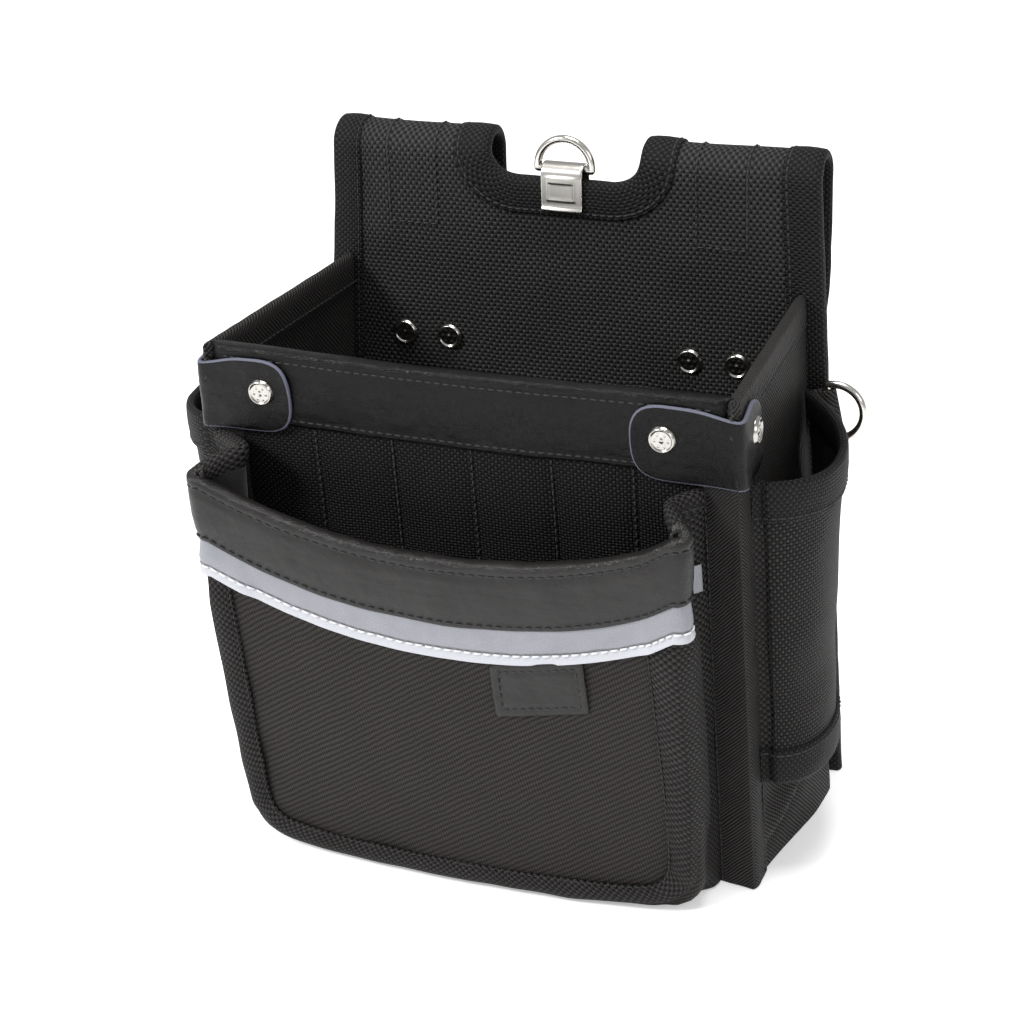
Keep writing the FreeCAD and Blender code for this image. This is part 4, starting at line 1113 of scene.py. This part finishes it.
def front_pocket_trim():
    """The leather band rolled over the rim, and the reflective tape that hangs below it."""
    c = pocket_columns()
    c = c[np.abs(c) < 1.26]
    rim = pocket_rim(c)[:, None]
    core = POCKET_CORE
    front = [(-30, 0.6), (-29.6, 1.3), (-28.6, 1.6), (-27.2, 1.35), (-25, 1.9), (-18, 2.3),
             (-10, 2.2), (-6.5, 2.1), (-5.0, 1.5), (-3.8, 1.6), (-2.6, 2.1)]
    rear = [(-3.5, -core - 1.6), (-6.5, -core - 0.9)]
    o, f = folded_section(front, rear, core, np.linspace(66, -80, 8), 2.0, 2.1, 0.9)
    z = rim + 1.0 + o[None, :]
    c_grid = np.broadcast_to(c[:, None], z.shape)
    grid = wall_lifted(c_grid, z, np.broadcast_to(f, z.shape))
    coords = pairs(lengths(grid[:, 5]), lengths(np.column_stack([o, f])))
    grid_cloth("front_pocket_band_leather", grid, (0, -1, 0), LEATHER, POCKET_LEATHER,
               "smooth_leather", coords=coords, nodes=("front_pocket_band",), ripple=BAND_RIPPLE)
    sewn_c = np.linspace(-1.22, 1.22, 500)
    for reach, lift in ((-4.3, 1.6), (-28.0, 1.5)):
        z_row = pocket_rim(sewn_c) + 1.0 + reach
        line = wall_lifted(sewn_c, z_row, np.full(500, lift))
        stitch("front_pocket", line, wall_normals(sewn_c, z_row), pitch=4.3, length=3.2,
               ripple=BAND_RIPPLE)
    drop = np.array([-27, -30.5, -34, -37.5, -REFLECTOR_SEAM + 1, -REFLECTOR_SEAM,
                     -REFLECTOR_SEAM - 1, -43, -POCKET_BAND - REFLECTOR])
    lift = np.array([0.4, 0.75, 0.95, 1.0, 0.85, 0.55, 0.85, 1.35, 1.7])
    z = rim + drop[None, :]
    lift = lift[None, :] + over_border(c)[:, None] * smooth((-drop - 30) / 8)[None, :]
    grid = wall_lifted(np.broadcast_to(c[:, None], z.shape), z, lift)
    coords = pairs(lengths(grid[:, 3]), -drop)
    grid_cloth("reflective_band", grid, (0, -1, 0), 0.6, REFLECTIVE, "reflective", coords=coords,
               nodes=("reflective_tape",), ripple=REFLECTOR_RIPPLE)
    z_row = pocket_rim(sewn_c) - REFLECTOR_SEAM
    line = wall_lifted(sewn_c, z_row, 1.0 + over_border(sewn_c))
    stitch("reflector", line, wall_normals(sewn_c, z_row), pitch=4.3, length=3.3, width=1.0,
           ripple=REFLECTOR_RIPPLE)
    # the tape's end, on the gusset's rear half
    c_end = np.linspace(1.74, 1.86, 5)
    z_end = np.linspace(148, 160, 5)[:, None]
    end = wall_lifted(*np.broadcast_arrays(c_end, z_end), np.full((5, 5), 1.0))
    grid_cloth("reflective_end", end, (1, 0, 0), 0.6, REFLECTIVE, "reflective")


def smooth_line(points, count):
    """A soft curve near a list of points, as evenly spaced points."""
    line = np.array(points, float)
    for _ in range(3):
        near, far = line[:-1], line[1:]
        cut = np.stack([mix(near, far, 0.25), mix(near, far, 0.75)], 1).reshape(-1, 2)
        line = np.concatenate([line[:1], cut, line[-1:]])
    return at(line, np.linspace(0, lengths(line)[-1], count))


def front_pocket_border():
    """The gusset's edge turned onto the face and stuffed: down one side, along the foot, up."""
    top = POCKET_END_Z - POCKET_BAND - REFLECTOR + 2
    foot, half = POCKET_FOOT_HALF, POCKET_HALF
    inner = [(-98, top), (-96.5, 90), (-95, 30), (-93, 15), (-80, 10), (0, 10), (80, 10),
             (91, 15), (93.5, 30), (91, 90), (88, top)]
    outer = [(-half, top), (-half + 1.6, 90), (-foot - 0.6, 30), (-foot + 2, 8), (-foot + 14, 0.6),
             (0, 0.4), (foot - 14, 0.6), (foot - 2, 8), (foot + 0.6, 30), (half - 1.6, 90),
             (half, top)]
    count = 190
    inner, outer = smooth_line(inner, count), smooth_line(outer, count)
    t = np.array([0, 0.04, 0.1, 0.2, 0.35, 0.5, 0.65, 0.8, 0.92, 1.0, 1.08, 1.16, 1.24])[None, :]
    share = np.clip(t, 0, 1)
    x = mix(inner[:, :1], outer[:, :1], share)
    z = mix(inner[:, 1:], outer[:, 1:], share)
    along = lengths(inner)[:, None]
    fade = smooth(np.minimum(along, along.max() - along) / 16)
    pucker = sum(groove(along - along.max() * place, 4.5) for place in (0.275, 0.725))
    dome = np.sin(math.pi * np.clip(t * 0.9 + 0.02, 0, 1)) ** 0.75
    rise = 0.4 + 3.8 * (0.1 + 0.9 * fade) * (1 - 0.45 * pucker) * dome
    tuck = np.maximum(t - 0.8, 0) * 26
    grid = vec(x, pocket_face(np.abs(x) / POCKET_FOOT_HALF, z) - rise + tuck, z)
    coords = pairs(lengths(grid[:, 5]), lengths(grid[40]))
    made = grid_cloth("front_pocket_border_roll", grid, (0, -1, 0), SHEET, GUSSET_CLOTH,
                      "gusset_cloth", coords=coords, nodes=("front_pocket_border",),
                      ripple=(20.0, 0.8))
    stitch("front_pocket", grid[:, 1] + [0, -0.3, 0], (0, -1, 0), pitch=3.4, length=2.4, width=0.7)


def label_patch():
    """A plain leather patch on a slant, sewn round its edge."""
    low, high = corners("label_patch")
    centre = (low + high) / 2 + [0, 0, 2.5]
    half, slant = np.array([20.5, 12.0]), math.radians(11)
    flat, faces = region(filleted(rectangle(-half, half), 1.5, 4), 1.6)

    def on_face(u, v, lift):
        x = centre[0] + u * math.cos(slant) - v * math.sin(slant) * 0.35
        z = centre[2] + v + u * math.sin(slant)
        c = x / (mix(POCKET_FOOT_HALF, POCKET_HALF, z / POCKET_END_Z) - 5)
        return wall_lifted(c, z, lift)

    u, v = flat.T
    edge = np.minimum(half[0] - np.abs(u), half[1] - np.abs(v))
    lift = 1.9 - 0.45 * groove(edge - 3, 1.0) - 0.3 * groove(edge, 1.0)
    cloth("label_leather", on_face(u, v, lift), faces, flat, 1.4, POCKET_LEATHER, "smooth_leather",
          nodes=("label_patch",), ripple=(14.0, 0.5))
    ring = filleted(rectangle(3 - half, half - 3), 0.6, 2)
    ring = np.concatenate([ring, ring[:1]])
    ring = at(ring, np.arange(0, lengths(ring)[-1], 1.0))
    line = on_face(*ring.T, np.full(len(ring), 1.6))
    stitch("label", line, (0, -1, 0.1), length=2.7)


# ---------------------------------------------------------------- side pockets


FOLD_START = -0.14


def pouch_wall(t, z, lift=0.0):
    """The right side pocket: t < 0 is the fold beside the corner, t = 1 the face's back end."""
    height = (z - pouch_low[2]) / (pouch_high[2] - pouch_low[2])
    front, back = mix(-34.0, -45.0, height), 54.0
    front_x, back_x = mix(128.0, 125.5, height), mix(124.5, 116.5, height)
    out_x, out_y = mix(143.0, 146.0, height), mix(-30.0, -38.0, height)
    far_x, far_y = mix(155.0, 164.0, height), mix(2.0, 5.0, height)
    start_x, start_y = corner_x(z) + 0.8, front_y(z) + 9

    def plan(t):
        face = np.clip(t, 0, 1)
        rest = 1 - face
        parts = rest ** 3, 3 * rest ** 2 * face, 3 * rest * face ** 2, face ** 3
        face_x = sum(p * v for p, v in zip(parts, (front_x, out_x, far_x, back_x)))
        face_y = sum(p * v for p, v in zip(parts, (front, out_y, far_y, back)))
        q = np.clip(1 - t / FOLD_START, 0, 1)
        fold = 2.2 * np.sin(math.pi * q) * (t < 0)
        x = np.where(t < 0, mix(start_x, front_x, q) + fold * 0.4, face_x)
        return x, np.where(t < 0, mix(start_y, front, q) + fold, face_y)

    def eased(t):
        near = [plan(np.clip(t + d, FOLD_START, 1)) for d in (-0.018, 0, 0.018)]
        return sum(x for x, y in near) / 3, sum(y for x, y in near) / 3

    (x0, y0), (x1, y1) = eased(t - 0.02), eased(t + 0.02)
    x, y = eased(t)
    long = np.maximum(np.hypot(x1 - x0, y1 - y0), 1e-6)
    return vec(x + lift * (y1 - y0) / long, y - lift * (x1 - x0) / long, z)


def pouch_rim(t):
    face = np.clip(t, 0, 1)
    return pouch_high[2] - 1.0 - 2.5 * np.sin(math.pi * face) ** 2 + 2.0 * face


def side_pockets():
    low = pouch_low[2]
    t = np.concatenate([np.linspace(FOLD_START, 0, 16)[:-1], np.linspace(0, 1, 60)])
    z = mix(low, pouch_rim(t)[None, :] - 1, np.linspace(0, 1, 50)[:, None])
    height = (z - low) / (pouch_high[2] - low)
    slack = -1.4 * np.sin(math.pi * height) * np.sin(math.pi * np.clip(t, 0, 1))
    grid = pouch_wall(t[None, :], z, slack)
    run = lengths(pouch_wall(t, 120.0))
    coords = np.stack([np.broadcast_to(run, z.shape), z], -1)
    face_start = np.argmax(t >= 0)
    hem_lift, hem_z = np.array([(0.4, 16), (1.2, 15.6), (1.35, 13.5), (1.7, 10), (1.9, 5),
                                (1.6, 0.6), (0.4, -1.4), (-1.6, -2.0), (-4.5, -2.0)]).T
    hem = pouch_wall(t[:, None], low + hem_z + 0 * t[:, None], hem_lift + 0 * t[:, None])
    line = pouch_wall(t, np.full(len(t), low + 13.5), 1.5)
    for name, side in SIDES.items():
        for label, columns, material, slot, node in (
            ("cloth", slice(face_start, None), SIDE_CLOTH, "ballistic_nylon", "side_pocket_panel"),
            ("fold", slice(0, face_start + 1), GUSSET_CLOTH, "gusset_cloth", "side_pocket_gusset"),
        ):
            grid_cloth(f"side_pocket_{label}_{name}", grid[:, columns], (1, -0.5, 0), SHEET,
                       material, slot, coords=coords[:, columns].reshape(-1, 2),
                       nodes=(f"{node}_{name}",), side=side, ripple=(26.0, 1.0))

        def rim(a, o, f):
            share = np.interp(a, run, t)
            return pouch_wall(share + 0 * o, pouch_rim(share) + o, f)

        binding(f"side_pocket_rim_tape_{name}", np.linspace(run[0], run[-1], 84), rim, 1.8,
                (f"side_pocket_rim_binding_{name}",), EDGE_TAPE, front=16, rear=11, side=side,
                group="side_pockets")
        grid_cloth(f"side_pocket_hem_tape_{name}", hem, (1, 0, 0), TAPE, EDGE_TAPE, "binding_tape",
                   nodes=(f"side_pocket_bottom_binding_{name}",), side=side, ripple=(10.0, 0.4))
        stitch("side_pockets", line, (1, 0, 0), ripple=(10.0, 0.4), side=side)


# ---------------------------------------------------------------- metal parts and the ring's tab


def rivet_cap(name, centre, outward, node=None):
    """A domed cap with a raised rim and a ring of beads round a boss."""
    rings, spokes, radius = 26, 48, 6.1
    r = np.linspace(0.02, 1, rings)[:, None] * radius
    angle = np.linspace(0, 2 * math.pi, spokes, endpoint=False)[None, :]
    dome = 1.05 * (1 - (r / 6.25) ** 8)
    rim = 0.85 * groove(r - 4.95, 0.62)
    spoke = (angle + math.pi / 6) % (math.pi / 3) - math.pi / 6
    bead = 0.3 * groove(np.hypot(r * np.cos(spoke) - 2.9, r * np.sin(spoke)), 0.8)
    boss = 0.5 * groove(r + 0 * angle, 1.1)
    height = dome + rim + bead + boss
    height[-1] = -0.4
    facing = unit(np.array(outward, float))
    frame_x = unit(np.cross(facing, (0.0, 0.0, 1.0)))
    frame_y = np.cross(facing, frame_x)
    x, y = r * np.cos(angle), r * np.sin(angle)
    flat = np.array(centre) + x[..., None] * frame_x + y[..., None] * frame_y
    points = flat + height[..., None] * facing
    faces = grid_faces(rings, spokes + 1)
    index = np.arange(rings * (spokes + 1))
    index = (index // (spokes + 1)) * spokes + (index % (spokes + 1)) % spokes
    faces = index[faces].tolist()
    faces.append(list(range(spokes)))
    faces.append(list(range((rings - 1) * spokes, rings * spokes))[::-1])
    if np.cross(frame_x, frame_y) @ facing < 0:
        faces = [face[::-1] for face in faces]
    made = piece(name, points.reshape(-1, 3), faces, [SATIN])
    if node:
        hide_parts(node)


def refinish(material, *nodes):
    """Gives a finish of this script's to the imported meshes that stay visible."""
    for node in nodes:
        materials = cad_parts[node].data.materials
        materials.clear()
        materials.append(material)


def rivets():
    strap_face = front_y(STRAP_RIVET_Z) - 3.3
    side_face = side_x(STRAP_RIVET_Y, STRAP_RIVET_Z) + 3.3
    rear_low, rear_high = corners("back_rivet_posts")
    rear_y, rear_z = rear_high[1] - 0.5, (rear_low[2] + rear_high[2]) / 2
    for name, side in SIDES.items():
        for place, reach in RIVET_REACHES.items():
            rivet_cap(f"back_rivet_{place}_{name}", (side * reach, BACK_Y - 0.1, BACK_RIVET_Z),
                      (0, -1, 0), "back_rivet_caps")
        rivet_cap(f"strap_rivet_front_{name}", (side * STRAP_RIVET_X, strap_face, STRAP_RIVET_Z),
                  (0, -1, -0.09), "strap_rivet_caps")
        rivet_cap(f"strap_rivet_side_{name}", (side * side_face, STRAP_RIVET_Y, STRAP_RIVET_Z),
                  (side, 0.06, 0), "strap_rivet_caps")
    for name, side in SIDES.items():
        for place, reach in RIVET_REACHES.items():
            rivet_cap(f"back_rivet_rear_{place}_{name}", (side * reach, rear_y, rear_z), (0, 1, 0))
    refinish(NICKEL, "back_rivet_posts", "strap_rivet_posts", "centre_d_ring", "side_d_ring")
    refinish(BOARD, "back_stiffener_board", "main_front_board", "bottom_board")


def ring_clip():
    """The folded plate that traps the centre ring's bar."""
    low, high = corners("ring_clip")
    middle_y, radius = (low[1] + high[1]) / 2, (high[1] - low[1]) / 2
    shoulder = high[2] - radius
    turn = np.radians(np.linspace(180, 0, 17))
    fold = np.column_stack([middle_y + radius * np.cos(turn), shoulder + radius * np.sin(turn)])
    count = 40
    front = np.column_stack([np.full(count, low[1]), np.linspace(low[2], shoulder - 0.5, count)])
    rear = np.column_stack([np.full(12, high[1]), np.linspace(shoulder - 0.5, low[2], 12)])
    section = np.concatenate([front, fold, rear])
    x = np.linspace(low[0] + 0.6, high[0] - 0.6, 48)  # clear of the ring as it turns
    drop = section[:, 1] - low[2]
    on_front = np.arange(len(section)) < count
    lip = 0.7 * groove(drop, 1.0) * on_front
    bow = 0.7 * (1 - (x / high[0]) ** 2)
    frame_edge = np.maximum(np.abs(x)[None, :] - 6.0, np.abs(drop - 8.5)[:, None] - 4.0)
    ridge = 0.28 * groove(frame_edge, 0.55) * on_front[:, None]
    y = section[:, :1] - lip[:, None] - ridge - on_front[:, None] * bow[None, :]
    grid = vec(x[None, :], y, section[:, 1:])
    grid_cloth("ring_clip_plate", grid, (0, 0, 1), 1.1, BRUSHED, "nickel", nodes=("ring_clip",),
               edge=NICKEL)


def ring_tab():
    """Folded webbing sewn into the side seam, with the side ring's bar in its fold."""
    bar = np.array([124.6, 62.6, 181.0])
    tilt = math.radians(12)
    outward = np.array([math.cos(tilt), 0, math.sin(tilt)])
    down = np.array([math.sin(tilt), 0, -math.cos(tilt)])
    turn = np.radians(np.linspace(100, -100, 13))
    eye = np.column_stack([3.4 * np.cos(turn), 3.4 * np.sin(turn)])
    leg = np.array([(-11.5, 1.5), (-8, 1.6), (-4, 2.0)])
    section = np.concatenate([leg, eye, leg[::-1] * [1, -1]])
    reach = np.linspace(-10, 10, 16)
    grid = (bar + section[:, None, :1] * outward + section[:, None, 1:] * np.array([0, 1.0, 0])
            + reach[None, :, None] * down)
    grid_cloth("side_ring_webbing", grid, outward, 1.3, TWILL, "webbing",
               coords=pairs(lengths(section), reach), nodes=("side_ring_tab",))
    for sign in (1, -1):
        line = bar + outward * -6.0 + np.array([0, 1.95 * sign, 0]) + reach[:, None] * down
        stitch("tab", line, (0, sign, 0))


# ---------------------------------------------------------------- studio


def studio():
    scene = bpy.context.scene
    world = bpy.data.worlds.new("studio")
    scene.world = world
    world.use_nodes = True
    background = world.node_tree.nodes["Background"].inputs
    background["Color"].default_value = rgb(1.0, 1.0, 1.0)
    background["Strength"].default_value = 0.55
    mesh = bpy.data.meshes.new("floor")
    size, level = 12.0, -0.0006
    rim = [(x, y, level) for x, y in rectangle((-size, -size), (size, size))]
    mesh.from_pydata(rim, [], [(0, 1, 2, 3)])
    # it glows a little, like a light table
    pale = Finish("pale_floor", roughness=0.9, specular_ior_level=0.1, emission_strength=0.36)
    pale.shader.inputs["Emission Color"].default_value = rgb(1.0, 1.0, 1.0)
    mottle = pale.noise(pale.object_place(), 0.01)
    pale.colour(pale.blend(mottle, rgb(0.90, 0.90, 0.90), rgb(0.93, 0.93, 0.93)))
    mesh.materials.append(pale.material)
    floor = bpy.data.objects.new("floor", mesh)
    scene.collection.objects.link(floor)
    for name, place, aim, size, watts in (
        ("key", (-1.2, -1.3, 1.4), (0, 0, 0.15), 0.5, 40),
        ("fill", (1.5, -0.9, 0.9), (0, 0, 0.12), 0.7, 6),
        ("top", (0.1, -0.2, 1.9), (0, 0, 0.2), 0.8, 30),
    ):
        light = bpy.data.lights.new(name, "AREA")
        light.energy, light.size = watts, size
        lamp = bpy.data.objects.new(name, light)
        lamp.location = place
        lamp.rotation_mode = "QUATERNION"
        lamp.rotation_quaternion = (Vector(aim) - Vector(place)).to_track_quat("-Z", "Y")
        scene.collection.objects.link(lamp)


def camera():
    azimuth, elevation, roll = (math.radians(a) for a in (22.3, 24.2, -2.06))
    target, distance = Vector((-0.030, 0.068, 0.110)), 1.177
    level = Vector((math.cos(azimuth), math.sin(azimuth), 0))
    away = Vector((math.sin(azimuth) * math.cos(elevation),
                   -math.cos(azimuth) * math.cos(elevation), math.sin(elevation)))
    upright = away.cross(level)
    right = level * math.cos(roll) + upright * math.sin(roll)
    up = upright * math.cos(roll) - level * math.sin(roll)
    data = bpy.data.cameras.new("camera")
    data.lens, data.sensor_width = 88.1, 36.0
    made = bpy.data.objects.new("camera", data)
    turned = Matrix((right, up, away)).transposed().to_4x4()
    made.matrix_world = Matrix.Translation(target + away * distance) @ turned
    bpy.context.scene.collection.objects.link(made)
    bpy.context.scene.camera = made


back_panel()
back_bindings()
ear_webbing()
front_wall()
slot_strip()
front_band()
corner_straps()
corner_tapes()
side_panels()
floors()
front_pocket()
front_pocket_trim()
front_pocket_border()
label_patch()
side_pockets()
rivets()
ring_clip()
ring_tab()
make_stitches(THREAD, PALE_THREAD)
studio()
camera()
bpy.context.scene.view_settings.view_transform = "Standard"
